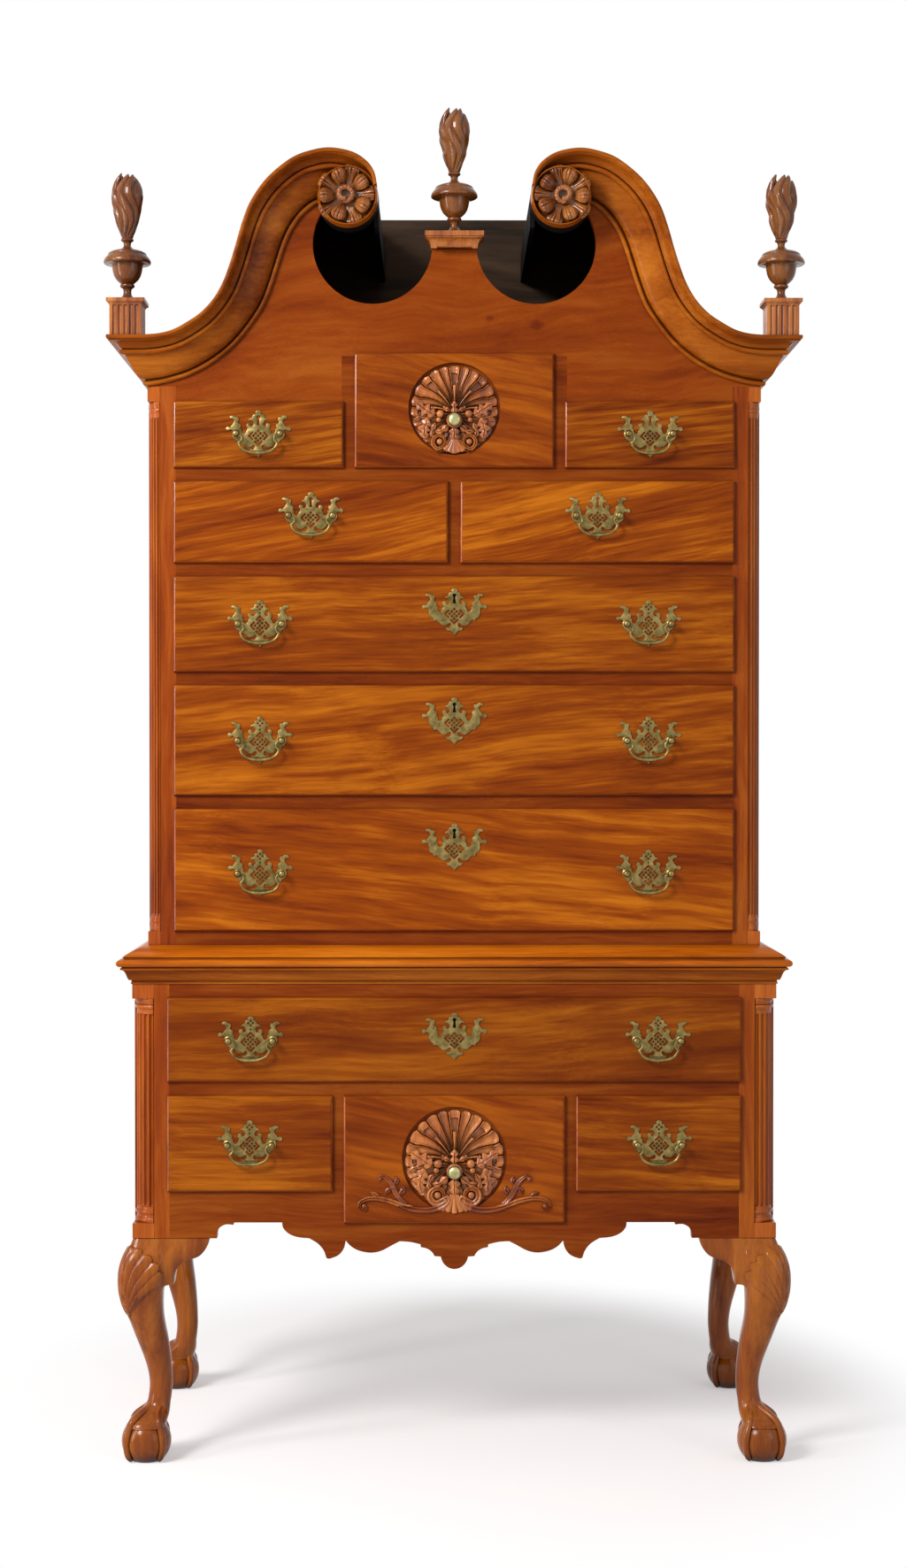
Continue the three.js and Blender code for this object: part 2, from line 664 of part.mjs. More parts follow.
// A leg of the right front corner, from its case corner at 0, 0.
function ring_at([rise, out, inward, power]) {
  const centre = ((out - inward) / 2) * post;
  const half = ((out + inward) / 2) * post;
  const ring = [];
  for (let side = 0; side < leg_sides; side += 1) {
    const angle = ((side + 0.5) / leg_sides) * Math.PI * 2;
    const [c, s] = [Math.cos(angle), Math.sin(angle)];
    const reach = half / (Math.abs(c) ** power + Math.abs(s) ** power) ** (1 / power);
    ring.push([centre + c * reach, -centre + s * reach, rise * leg_rise]);
  }
  return ring;
}
function leg(with_recess) {
  const posts = block(-post, 0, 0, post, leg_rise, z_joint);
  const recess = block(-lower_column_r, post, -post, lower_column_r, leg_rise, z_joint + post);
  const bracket = bracket_shares.map(([along, down]) => [
    -along * post, leg_rise - down * bracket_drop,
  ]);
  const front_bracket = board(bracket, 0, bracket_t);
  const side_bracket = mapped(front_bracket, ([x, y, z]) => [-y, -x, z]);
  const foot = moved(turning(foot_shares, foot_r, foot_high), [
    -foot_centre_share * post, foot_centre_share * post, 0,
  ]);
  const cabriole = loft(leg_shares.map(ring_at));
  const above = block(-post * 2, post, -post, post * 2, leg_rise, leg_rise * 2);
  return union([
    with_recess ? posts.subtract(recess) : posts,
    cabriole.subtract(above), front_bracket, side_bracket, foot,
  ]);
}
const front_leg = moved(leg(true), [case_half, y_lower, 0]);
add_pair(lower_case, 'leg_front', front_leg, mahogany);
const back_leg = mapped(leg(false), ([x, y, z]) => [x + case_half, -y, z]);
add_pair(lower_case, 'leg_back', back_leg, mahogany);

// One bail, hanging from its two pintles, about X through its own origin.
function bail_solid() {
  const half_spacing = post_spacing / 2;
  const right = bail_shares.map(([x, z]) => [x * half_spacing, z * bail_drop]);
  const path = [
    [half_spacing + pintle_in, 0], ...right,
    ...right.slice(0, -1).reverse().map(([x, z]) => [-x, z]), [-half_spacing - pintle_in, 0],
  ];
  const rings = path.map(([x, z], i) => {
    const [ax, az] = path[Math.max(i - 1, 0)];
    const [bx, bz] = path[Math.min(i + 1, path.length - 1)];
    const long = Math.hypot(bx - ax, bz - az);
    const straight = i < 2 || i > path.length - 3;
    const [tx, tz] = straight ? [-1, 0] : [(bx - ax) / long, (bz - az) / long];
    const thick = straight ? pintle_r : bail_r;
    return [0, 1, 2, 3, 4, 5].map((side) => {
      const angle = (side / 6) * Math.PI * 2;
      const across = Math.cos(angle) * thick;
      return [x - tz * across, Math.sin(angle) * thick, z + tx * across];
    });
  });
  return loft(rings);
}
const bail = bail_solid();

// A post's head and neck, facing the front, and the socket for a pintle.
const post_head = moved(facing_front(turning(head_shares, head_r, head_long, post_steps)), [
  0, -axis_out + head_long / 2, 0,
]);
const post_neck = facing_front(turning(
  [[0, -1], [1, -1], [1, 1], [0, 1]], neck_r, lip_t, post_steps,
));
const neck_end = axis_out - head_long / 2 + lip_t / 8;
const pull_post = post_head.add(mapped(post_neck, ([x, y, z]) => [
  x, y < 0 ? -neck_end : lip_t / 2, z,
]));
const socket_r = pintle_r + pintle_play;
const socket_long = head_r + pintle_in + pintle_play;
const socket = mapped(
  turning([[0, 0], [1, 0], [1, 1], [0, 1]], socket_r, socket_long, post_steps),
  ([x, y, z]) => [z - head_r, y, x],
);
const right_post = pull_post.subtract(moved(socket, [0, -axis_out, 0]));
// Seen from the pull's middle, each socket opens inwards.
const post_pair = union([
  moved(right_post, [post_spacing / 2, 0, 0]),
  mirrored(moved(right_post, [post_spacing / 2, 0, 0])),
]);
const knob = facing_front(turning(knob_shares, knob_r, knob_out));

// One drawer: a lipped front, a box behind it and what is fixed to the front.
function drawer({ name, x0, x1, z0, high, y_front, pulls = [], knob_below, hand = [] }) {
  const mid_x = (x0 + x1) / 2;
  const mid_z = z0 + high / 2;
  const [w, h] = [(x1 - x0) / 2, high / 2];
  const rect = (cut, y) => [
    [-w + cut, y, -h + cut], [w - cut, y, -h + cut], [w - cut, y, h - cut], [-w + cut, y, h - cut],
  ];
  const lip = loft([
    rect(0, -seat_gap), rect(0, -lip_t * lip_side_share), rect(lip_round, -lip_t),
  ]);
  const box_w = w - lip_overlap - side_play;
  const [box_z0, box_z1] = [-h + lip_overlap + seat_gap, h - lip_overlap - top_play];
  const y_end = y_back_in - back_play - y_front;
  const shell = block(-box_w, box_w, -lip_t / 2, y_end, box_z0, box_z1);
  const room = block(
    -box_w + wall_t, box_w - wall_t, front_inner_t, y_end - wall_t,
    box_z0 + floor_t, box_z1 + lip_overlap,
  );
  const fixed = pulls.map(([x, z]) => moved(post_pair, [x - mid_x, -lip_t, z - mid_z]));
  if (knob_below) fixed.push(moved(knob, [0, -lip_t, -knob_below]));
  const made = union([shell.subtract(room), lip, ...fixed]);
  const group = new THREE.Group();
  group.position.set(mid_x, y_front, mid_z);
  group.add(mesh_of(`drawer_${name}`, made, figured));
  pulls.forEach(([x, z], i) => {
    const hung = mesh_of(`bail_${hand[i]}`, bail, brass);
    hung.position.set(x - mid_x, -lip_t - axis_out, z - mid_z);
    group.add(hung);
  });
  drawers.add(group);
}

// A small drawer's pull is in its middle; a wide drawer has one each side.
function small_pair(row, inner, outer, z0, high, y_front, lift = 0) {
  const at = [(inner + outer) / 2, z0 + high / 2 + lift];
  drawer({
    name: `${row}_right`, x0: inner, x1: outer, z0, high, y_front,
    pulls: [at], hand: [`${row}_right`],
  });
  drawer({
    name: `${row}_left`, x0: -outer, x1: -inner, z0, high, y_front,
    pulls: [[-at[0], at[1]]], hand: [`${row}_left`],
  });
}
function wide(row, half, z0, high, y_front, pull_inset, lift = 0) {
  const z = z0 + high / 2 + lift;
  const reach = half - pull_inset;
  drawer({
    name: row, x0: -half, x1: half, z0, high, y_front,
    pulls: [[reach, z], [-reach, z]], hand: [`${row}_right`, `${row}_left`],
  });
}
small_pair('row1', shell_half + divider_face, upper_lip, z_row1, row1_height, y_upper);
drawer({
  name: 'row1_centre', x0: -shell_half, x1: shell_half, z0: z_row1, high: shell_height,
  y_front: y_upper, knob_below: shell_knob_below,
});
small_pair('row2', row2_divider_face / 2, upper_lip, z_row2, row2_height, y_upper, row2_pull_lift);
wide('row3', upper_lip, z_row3, row3_height, y_upper, upper_pull_inset);
wide('row4', upper_lip, z_row4, row4_height, y_upper, upper_pull_inset);
wide('row5', upper_lip, z_row5, row5_height, y_upper, upper_pull_inset, row5_pull_lift);
wide('row6', lower_lip, z_row6, row6_height, y_lower, lower_pull_inset);
small_pair('row7', row7_shell_half + divider_face, lower_lip, z_row7, row7_height, y_lower);
drawer({
  name: 'row7_centre', x0: -row7_shell_half, x1: row7_shell_half, z0: z_row7_centre,
  high: z_row7 + row7_height - z_row7_centre, y_front: y_lower, knob_below: row7_knob_below,
});

// The origin is under the middle of the chest, on the floor.
const limits = new THREE.Box3().setFromObject(highboy);
highboy.position.y = -(limits.min.y + limits.max.y) / 2;

export default highboy;
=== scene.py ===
# %% [markdown]
# # A bonnet-top highboy
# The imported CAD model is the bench: every board, drawer and brass has its place
# there. This lesson loads it first, and then dresses it piece by piece with
# mouldings, carving, brasses and polished mahogany.

# %% Load the frame
from math import sin, cos, pi, radians, hypot, sqrt, exp
import random
import bpy
import bmesh
from mathutils import Vector, Matrix


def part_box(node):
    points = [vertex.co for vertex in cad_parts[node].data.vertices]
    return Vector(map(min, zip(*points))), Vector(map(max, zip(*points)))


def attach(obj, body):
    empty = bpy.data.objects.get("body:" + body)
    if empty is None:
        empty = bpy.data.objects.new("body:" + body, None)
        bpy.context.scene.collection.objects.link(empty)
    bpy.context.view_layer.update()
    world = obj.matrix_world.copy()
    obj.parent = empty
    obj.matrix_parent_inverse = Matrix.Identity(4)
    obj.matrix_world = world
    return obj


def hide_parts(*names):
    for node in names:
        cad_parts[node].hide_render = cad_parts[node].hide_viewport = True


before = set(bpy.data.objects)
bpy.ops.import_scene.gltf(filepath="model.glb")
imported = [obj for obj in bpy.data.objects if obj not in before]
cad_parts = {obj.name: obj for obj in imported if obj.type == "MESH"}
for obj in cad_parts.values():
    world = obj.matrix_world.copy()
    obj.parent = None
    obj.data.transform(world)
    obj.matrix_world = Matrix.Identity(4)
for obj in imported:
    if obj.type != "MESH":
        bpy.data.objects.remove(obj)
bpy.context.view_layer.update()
mm = 0.001

# %% [markdown]
# The camera stands almost on the middle line, 4.3 m in front of the chest and
# at half its height, as a furniture photographer sets it. The lens length
# follows from the picture's height, because the long side is the sensor's side.

# %% Camera
def shown(name, data):
    """A new object in the scene."""
    made = bpy.data.objects.new(name, data)
    bpy.context.scene.collection.objects.link(made)
    return made


camera = bpy.data.cameras.new("camera")
camera.lens, camera.sensor_width = 57.16, 36
camera_object = shown("camera", camera)
camera_object.location = (-0.023, -4.548, 1.2265)
camera_object.rotation_euler = (radians(90 - 0.724), 0, radians(-0.274))
bpy.context.scene.camera = camera_object
bpy.context.scene.view_settings.view_transform = "Standard"
print("camera at", tuple(camera_object.location))

# %% [markdown]
# A material is a small graph of nodes, and so is the world. One helper adds a
# node with its settings and joins what is plugged into it; the others name the
# few patterns that come up again. Colours are written as a painter reads them
# off a photograph, in display values, and are turned into the linear values
# that the shader wants.

# %% Node helpers
def srgb(red, green, blue):
    return tuple((v / 255 / 12.92) if v < 10.3 else ((v / 255 + 0.055) / 1.055) ** 2.4
                 for v in (red, green, blue)) + (1.0,)


class Graph:
    """The nodes of a material or of the world."""

    def __init__(self, owner):
        owner.use_nodes = True
        self.owner, self.tree = owner, owner.node_tree

    def add(self, kind, inputs=None, **settings):
        node = self.tree.nodes.new("ShaderNode" + kind)
        for key, value in settings.items():
            setattr(node, key, value)
        for key, value in (inputs or {}).items():
            if isinstance(value, bpy.types.NodeSocket):
                self.tree.links.new(value, node.inputs[key])
            else:
                node.inputs[key].default_value = value
        return node

    def math(self, operation, a, b=0.0, clamp=False):
        return self.add("Math", {0: a, 1: b}, operation=operation, use_clamp=clamp).outputs[0]

    def vector(self, operation, a, b=(0, 0, 0)):
        return self.add("VectorMath", {0: a, 1: b}, operation=operation).outputs[0]

    def noise(self, vector, scale, detail=2.0, roughness=0.5, output="Fac"):
        return self.add("TexNoise", {"Vector": vector, "Scale": scale, "Detail": detail,
                                     "Roughness": roughness}).outputs[output]

    def shaded(self, colour, shade):
        return self.add("Mix", {0: 1.0, 6: colour, 7: shade}, data_type="RGBA",
                        blend_type="MULTIPLY").outputs[2]

    def away(self, place, middle, stretch):
        """How far a place lies from a middle, with each axis stretched first."""
        off = self.vector("MULTIPLY", self.vector("SUBTRACT", place, middle), stretch)
        return self.add("VectorMath", {0: off}, operation="LENGTH").outputs["Value"]

    def fade(self, value, start, end, low, high):
        return self.add("MapRange", {"Value": value, 1: start, 2: end, 3: low, 4: high},
                        interpolation_type="SMOOTHSTEP").outputs[0]

    def seen_plainly(self):
        """One for a ray that the camera, a reflection or glass sends, zero for other light."""
        path = self.add("LightPath")
        seen = self.math("MAXIMUM", path.outputs["Is Camera Ray"], path.outputs["Is Glossy Ray"])
        return self.math("MAXIMUM", seen, path.outputs["Is Transmission Ray"])

    def ramp(self, factor, stops):
        node = self.add("ValToRGB", {0: factor})
        bar = node.color_ramp.elements
        while len(bar) < len(stops):
            bar.new(0.5)
        for stop, (place, colour) in zip(bar, stops):
            stop.position = place
            stop.color = colour if isinstance(colour, tuple) else (colour, colour, colour, 1)
        return node.outputs[0]

    def finish(self, colour, roughness, specular, height, bump, metallic=0.0):
        link = self.tree.links.new
        shader = self.tree.nodes["Principled BSDF"]
        link(colour, shader.inputs["Base Color"])
        link(roughness, shader.inputs["Roughness"])
        shader.inputs["Specular IOR Level"].default_value = specular
        shader.inputs["Metallic"].default_value = metallic
        made = self.add("Bump", {"Height": height, "Strength": bump, "Distance": 0.0003})
        link(made.outputs[0], shader.inputs["Normal"])
        return self.owner


# %% [markdown]
# Floor and light. The photograph has a pure white ground with only a soft grey
# shadow. The floor is therefore a pale diffuse sheet which, seen straight by
# the camera, also gives off a little light, so that it is white where nothing
# shades it and keeps the chest's shadow. Away from the chest it is plain white.

# %% Floor
def make_floor():
    bm = bmesh.new()
    bmesh.ops.create_grid(bm, x_segments=1, y_segments=1, size=40)
    mesh = bpy.data.meshes.new("floor")
    bm.to_mesh(mesh)
    bm.free()
    floor = shown("floor", mesh)
    g = Graph(bpy.data.materials.new("floor_white"))
    place = g.add("TexCoord").outputs["Object"]
    far = g.fade(g.away(place, (0.0, 0.15, 0), (0.74, 0.62, 0)), 0.45, 0.72, 0.0, 1.0)
    lit = g.add("BsdfDiffuse", {"Color": (0.76, 0.735, 0.735, 1)})
    glow = g.add("Emission", {"Color": (1, 0.98, 0.98, 1), "Strength": 0.42})
    white = g.add("Emission", {"Color": (1, 1, 1, 1), "Strength": 1.0})
    near = g.add("AddShader", {0: lit.outputs[0], 1: glow.outputs[0]})
    ground = g.add("MixShader", {0: far, 1: near.outputs[0], 2: white.outputs[0]})
    whole = g.add("MixShader", {0: g.seen_plainly(), 1: lit.outputs[0], 2: ground.outputs[0]})
    g.tree.links.new(whole.outputs[0], g.tree.nodes["Material Output"].inputs["Surface"])
    mesh.materials.append(g.owner)
    return floor


floor = make_floor()
print("floor", [round(v) for v in floor.dimensions])

# %% [markdown]
# One big soft key from the upper left, a weak fill from the right, and a narrow
# strip at the left that draws the bright line down every left-hand drawer lip.

# %% Lights
def make_world(level):
    """White to look at, and as bright as level for lighting the chest."""
    g = Graph(bpy.data.worlds.new("studio"))
    strength = g.add("MapRange", {"Value": g.seen_plainly(), "To Min": level, "To Max": 1.0})
    background = g.tree.nodes["Background"]
    background.inputs["Color"].default_value = (1, 1, 1, 1)
    g.tree.links.new(strength.outputs[0], background.inputs["Strength"])
    bpy.context.scene.world = g.owner


def softbox(name, place, aim, width, height, power):
    light = bpy.data.lights.new(name, "AREA")
    light.shape, light.size, light.size_y, light.energy = "RECTANGLE", width, height, power
    made = shown(name, light)
    made.location = place
    made.rotation_euler = (Vector(aim) - Vector(place)).to_track_quat("-Z", "Y").to_euler()


make_world(0.30)
softbox("key", (-2.7, -3.2, 3.5), (0, 0, 1.2), 1.3, 1.3, 165)
softbox("fill", (3.2, -3.6, 1.9), (0, 0, 1.2), 1.6, 2.6, 22)
softbox("strip", (-2.9, -1.5, 1.5), (0, -0.3, 1.3), 0.35, 2.6, 34)

# %% [markdown]
# Mahogany. Sawn wood has three scales of pattern: broad streaks along the
# board, a ribbon figure where the fibres turn, and fine pores. Each is a noise
# texture that is stretched along the grain, after a slow noise has bent the
# coordinates a little. The polish is old, so the roughness wanders too.

# %% Wood finishes
def wood(name, light, mid, dark, grain="X", slant=0.0, shift=(0, 0, 0), figure=0.5,
         across=90.0, along=4.5, broad=0.5, rough=0.3, specular=0.14, hollow=0.010, depth=0.5,
         bend=0.05, knots=()):
    """A wood from three colours: how its grain lies, its figure, its polish and the painted shade that
    darkens its hollows.
    """
    g = Graph(bpy.data.materials.new(name))
    place = g.add("TexCoord").outputs["Object"]
    turn = (0, radians(slant + (90 if grain == "Z" else 0)), radians(90) if grain == "Y" else 0)
    flat = g.add("Mapping", {"Vector": place, "Location": shift, "Rotation": turn}).outputs[0]
    warp = g.vector("SUBTRACT", g.noise(flat, 2.6, 2, output="Color"), (0.5, 0.5, 0.5))
    flat = g.vector("ADD", flat, g.vector("MULTIPLY", warp, (0.0, bend, bend)))
    wide = g.noise(g.vector("MULTIPLY", flat, (1.6, 14, 14)), 1.0, 2)
    ribbon = g.noise(g.vector("MULTIPLY", flat, (along, across, across)), 1.0, 2, 0.55)
    streak = g.noise(g.vector("MULTIPLY", flat, (along * 2.6, across * 3.1, across * 3.1)), 1.0, 3)
    pores = g.noise(g.vector("MULTIPLY", flat, (24, 900, 900)), 1.0, 2)
    tone = g.math("MULTIPLY", g.math("SUBTRACT", wide, 0.5), broad * 2.4)
    for part, amount in ((ribbon, figure * 3.0), (streak, 0.5), (pores, 0.35)):
        tone = g.math("ADD", tone, g.math("MULTIPLY", g.math("SUBTRACT", part, 0.5), amount))
    for x, z, size in knots:
        away = g.away(place, (x, 0, z), (1, 0, 1.3))
        near = g.fade(away, 0.0, size, 0.7, 0.0)
        rings = g.math("MULTIPLY", g.math("SINE", g.math("MULTIPLY", away, 1500)), 0.35)
        tone = g.math("SUBTRACT", tone, g.math("MULTIPLY", near, g.math("ADD", rings, 0.5)))
    tone = g.math("ADD", tone, 0.5, clamp=True)
    colour = g.ramp(tone, [(0.10, dark), (0.48, mid), (0.90, light)])
    # Painted shade: ambient occlusion darkens the colour in hollows, creases and corners; hollow sets how far
    # it reaches, depth how dark it gets.
    shade = g.add("AmbientOcclusion", {"Distance": hollow}, samples=6, only_local=False)
    painted_shade = g.ramp(shade.outputs["AO"], [(0.15, 1 - depth), (0.85, 1.0)])
    polish = g.ramp(g.noise(flat, 14.0, 3), [(0.3, rough - 0.05), (0.7, rough + 0.07)])
    return g.finish(g.shaded(colour, painted_shade), polish, specular, pores, 0.10)


def dimmed(colours, share):
    return [tuple(part * share for part in colour[:3]) + (1,) for colour in colours]


def mahogany(name, colours, share=1.0, **look):
    """One of the case's finishes: its three colours, how light, and what sets it apart."""
    return wood(f"mahogany_{name}", *dimmed(colours, share), **{"figure": 0.2, "across": 60, **look})


case_colours = (srgb(176, 92, 24), srgb(146, 62, 8), srgb(104, 34, 4))
front_colours = (srgb(200, 112, 20), srgb(150, 68, 7), srgb(108, 38, 4))
carved_colours = (srgb(198, 122, 54), srgb(156, 84, 32), srgb(104, 48, 18))
moulded_colours = (srgb(184, 104, 28), srgb(150, 74, 14), srgb(104, 42, 8))
lit_golden_colours = (srgb(216, 124, 26), srgb(184, 92, 12), srgb(132, 58, 6))
column_colours = (srgb(196, 106, 26), srgb(166, 76, 12), srgb(116, 42, 5))
sprig_colours = (srgb(164, 82, 22), srgb(128, 54, 10), srgb(86, 32, 6))
leg_look = dict(grain="Z", figure=0.28, rough=0.16, specular=0.24)
carved_look = dict(grain="Z", figure=0.3, across=90, along=9)
# In each finish, hollow and depth set the reach and darkness of its painted shade in hollows.
case_x = mahogany("rails", case_colours, 0.74, specular=0.09)
case_z = mahogany("stiles", case_colours, grain="Z", figure=0.25)
board_x = mahogany("tympanum", case_colours, 0.86, figure=0.16, across=30, along=2.6, slant=5,
                   shift=(0.3, 0, 0.2), bend=0.14, broad=0.34, specular=0.09,
                   knots=((0.143, 1.966, 0.017), (0.061, 1.978, 0.010)))
moulded = mahogany("mouldings", moulded_colours, rough=0.2, specular=0.07, hollow=0.014, depth=0.72)
# Painted light: a lighter golden copy of the mouldings' wood for the top of the waist moulding, which faces
# up to the light.
lit_waist_wood = mahogany("waist", lit_golden_colours, 1.02, rough=0.2, specular=0.12, depth=0.85)
fluted = mahogany("columns", column_colours, grain="Z", rough=0.18, specular=0.22, hollow=0.006, depth=0.85)
glossy_z = mahogany("legs", moulded_colours, 0.90, hollow=0.012, depth=0.8, **leg_look)
claw_wood = mahogany("claws", moulded_colours, 0.84, hollow=0.028, depth=0.9, **leg_look)
# Painted light: a lighter, glossier copy of the case wood for the left-facing drawer lips.
lit_lip_wood = mahogany("lit_lips", case_colours, rough=0.22, specular=0.75, hollow=0.006, depth=0.6)
carved = mahogany("carved", carved_colours, 1.3, rough=0.27, specular=0.55, hollow=0.009, depth=0.95,
                  **carved_look)
petal_wood = mahogany("petals", carved_colours, 0.76, rough=0.24, specular=0.45, hollow=0.012, depth=0.97,
                      **carved_look)
dark_carved = mahogany("dark_carved", carved_colours, 0.47, rough=0.2, specular=0.36, hollow=0.014,
                       depth=0.95, **carved_look)
sprig_wood = mahogany("sprigs", sprig_colours, figure=0.5, across=90, along=9, rough=0.2, specular=0.4,
                      hollow=0.006, depth=0.9)
turned_z = mahogany("turned", carved_colours, grain="Z", figure=0.35, across=90, along=6, rough=0.24,
                    specular=0.5, hollow=0.008)
pine = wood("drawer_pine", srgb(214, 176, 116), srgb(196, 152, 92), srgb(164, 116, 62),
            grain="Y", figure=0.3, across=60, rough=0.6, specular=0.1)
stained = wood("stained_boards", srgb(84, 62, 46), srgb(62, 46, 34), srgb(36, 27, 20),
               grain="X", figure=0.4, across=40, rough=0.55, specular=0.1)
# Painted shade: a near-black finish for the inside of the bonnet and the sides of the scroll drums, where
# shade falls.
pitch = wood("painted_shade_hood", srgb(30, 25, 23), srgb(22, 18, 17), srgb(12, 10, 10),
             grain="Y", figure=0.3, across=40, rough=0.7, specular=0.06)
print("wood finishes made")


# %% [markdown]
# The brasses are cast, filed and polished long ago. Clean brass is a yellow
# metal; age leaves a browner, duller film in patches, and the colour is made darker in the hollows.

# %% Brass and shadow finishes
def aged_brass(name, dull, plain, bright):
    g = Graph(bpy.data.materials.new(name))
    place = g.add("TexCoord").outputs["Object"]
    colour = g.ramp(g.noise(place, 90.0, 4, 0.6), [(0.3, dull), (0.55, plain), (0.8, bright)])
    shade = g.add("AmbientOcclusion", {"Distance": 0.004}, samples=6)
    colour = g.shaded(colour, g.ramp(shade.outputs["AO"], [(0.2, 0.35), (0.8, 1.0)]))
    rough = g.ramp(g.noise(place, 260.0, 3), [(0.3, 0.30), (0.7, 0.46)])
    return g.finish(colour, rough, 0.5, g.noise(place, 420.0, 2), 0.12, metallic=1.0)


brass = aged_brass("aged_brass", srgb(98, 82, 46), srgb(136, 118, 70), srgb(172, 152, 102))
knob_brass = aged_brass("worn_brass", srgb(138, 128, 84), srgb(182, 174, 124), srgb(212, 206, 162))
# Painted shade: a near-black finish for the sheet that stands for the dark inside of each keyhole.
keyhole_shade = wood("keyhole_dark", srgb(26, 18, 14), srgb(18, 12, 10), srgb(10, 7, 6),
                 rough=0.8, specular=0.05)
print("brass made")

# %% [markdown]
# Almost every piece below is one of a few makings: a loft, where a ring of
# points is extruded again and again and each new ring is moved to its place; a
# turning, where a half section is spun about an axis; and a board, where a flat
# outline is extruded. The helpers wrap the bmesh operators that do this.

# %% Making helpers
def curve_through(points, steps):
    """A smooth row of points through the given ones."""
    made = []
    for i in range(len(points) - 1):
        a, b = Vector(points[max(i - 1, 0)]), Vector(points[i])
        c, d = Vector(points[i + 1]), Vector(points[min(i + 2, len(points) - 1)])
        for s in range(steps):
            t = s / steps
            made.append(0.5 * (2 * b + (c - a) * t + (2 * a - 5 * b + 4 * c - d) * t * t
                               + (3 * b - a - 3 * c + d) * t ** 3))
    return made + [Vector(points[-1])]


def along_table(table, t):
    """Read a table of (place, value) rows, between rows too."""
    for (a, va), (b, vb) in zip(table, table[1:]):
        if a <= t <= b:
            return va + (vb - va) * (t - a) / (b - a)
    return table[-1][1] if t > table[-1][0] else table[0][1]


def beside(path, i):
    """The points before and after one point of a path."""
    return path[max(i - 1, 0)], path[min(i + 1, len(path) - 1)]


def loft(bm, rings, caps=True):
    verts = [bm.verts.new(p) for p in rings[0]]
    count = len(verts)
    sides = range(count)
    edges = [bm.edges.new((verts[i], verts[(i + 1) % count])) for i in sides]
    first = verts
    for ring in rings[1:]:
        made = bmesh.ops.extrude_edge_only(bm, edges=edges)["geom"]
        fresh = {v for v in made if isinstance(v, bmesh.types.BMVert)}
        step = [next(e.other_vert(v) for e in v.link_edges if e.other_vert(v) in fresh)
                for v in verts]
        for vert, place in zip(step, ring):
            vert.co = place
        edges = [bm.edges.get((step[i], step[(i + 1) % count])) for i in sides]
        verts = step
    if caps:
        bm.faces.new(first)
        bm.faces.new(verts)


def turning(bm, profile, centre, steps=32, facing="Z"):
    """Spin rows of (radius, height) in millimetres; facing -Y for knobs and posts."""
    verts = [bm.verts.new((r * mm, 0, h * mm)) for r, h in profile]
    edges = [bm.edges.new(pair) for pair in zip(verts, verts[1:])]
    before = set(bm.verts) - set(verts)
    bmesh.ops.spin(bm, geom=verts + edges, cent=(0, 0, 0), axis=(0, 0, 1), angle=2 * pi,
                   steps=steps, use_merge=True)
    made = [v for v in bm.verts if v not in before]
    bmesh.ops.remove_doubles(bm, verts=made, dist=1e-6)
    made = [v for v in bm.verts if v not in before]
    if facing == "-Y":
        bmesh.ops.rotate(bm, verts=made, cent=(0, 0, 0), matrix=Matrix.Rotation(pi / 2, 3, "X"))
    bmesh.ops.translate(bm, verts=made, vec=centre)


def block(bm, low, high, bevel=0.0):
    made = bmesh.ops.create_cube(bm, size=1.0)["verts"]
    size = [h - l for l, h in zip(low, high)]
    bmesh.ops.scale(bm, verts=made, vec=size)
    bmesh.ops.translate(bm, verts=made, vec=[(l + h) / 2 for l, h in zip(low, high)])
    if bevel:
        edges = {e for v in made for e in v.link_edges}
        bmesh.ops.bevel(bm, geom=list(edges), offset=bevel, segments=1, affect="EDGES",
                        profile=0.5, material=-1)


def board(bm, outline, y0, y1):
    """An outline in front view made into a board."""
    loft(bm, [[(x, y, z) for x, z in outline] for y in (y0, y1)])


def piece(name, bm, material, body="case", stands_for=(), smooth=38, slot="case_wood"):
    """One piece of the chest: its mesh, its finish, and the body that it rides on."""
    bmesh.ops.recalc_face_normals(bm, faces=bm.faces)
    mesh = bpy.data.meshes.new(name)
    bm.to_mesh(mesh)
    bm.free()
    made = shown(name, mesh)
    mesh.materials.append(material)
    mesh.shade_smooth()
    mesh.set_sharp_from_angle(angle=radians(smooth))
    if stands_for:
        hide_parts(*stands_for)
    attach(made, body)
    return made


def pair(name, bm, material, nodes=(), **more):
    """The right-hand piece, and its mirror image on the left."""
    other = bm.copy()
    bmesh.ops.scale(other, verts=other.verts, vec=(-1, 1, 1))
    bmesh.ops.reverse_faces(other, faces=other.faces)
    return [piece(f"{name}_{side}", mesh, material, stands_for=[f"{node}_{side}" for node in nodes], **more)
            for side, mesh in (("right", bm), ("left", other))]


def second_finish(made, material, chosen):
    """Give the faces whose middle passes the test another material."""
    made.data.materials.append(material)
    for face in made.data.polygons:
        if chosen(face):
            face.material_index = len(made.data.materials) - 1


def mirrored(half):
    """An outline from its right half, given from the top middle to the bottom middle."""
    return list(half) + [(-x, z) for x, z in reversed(half) if abs(x) > 1e-6]


print("helpers ready")

# %% [markdown]
# The boards of the two cases are right as the CAD model has them, so they only
# take a finish. Grain runs the long way of each board: up the stiles and sides,
# across the rails.

# %% Case boards
boards = {
    case_z: ("upper_side_left", "upper_side_right", "lower_side_left", "lower_side_right"),
    case_x: ("upper_bottom", "row1_rail", "row2_rail", "row3_rail", "row4_rail", "lower_top_rail",
             "lower_mid_rail"),
    stained: ("upper_top_board", "upper_back", "lower_back"),
}
for finish, nodes in boards.items():
    for node in nodes:
        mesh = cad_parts[node].data
        mesh.materials.clear()
        mesh.materials.append(finish)
print("boards finished:", sum(len(nodes) for nodes in boards.values()))

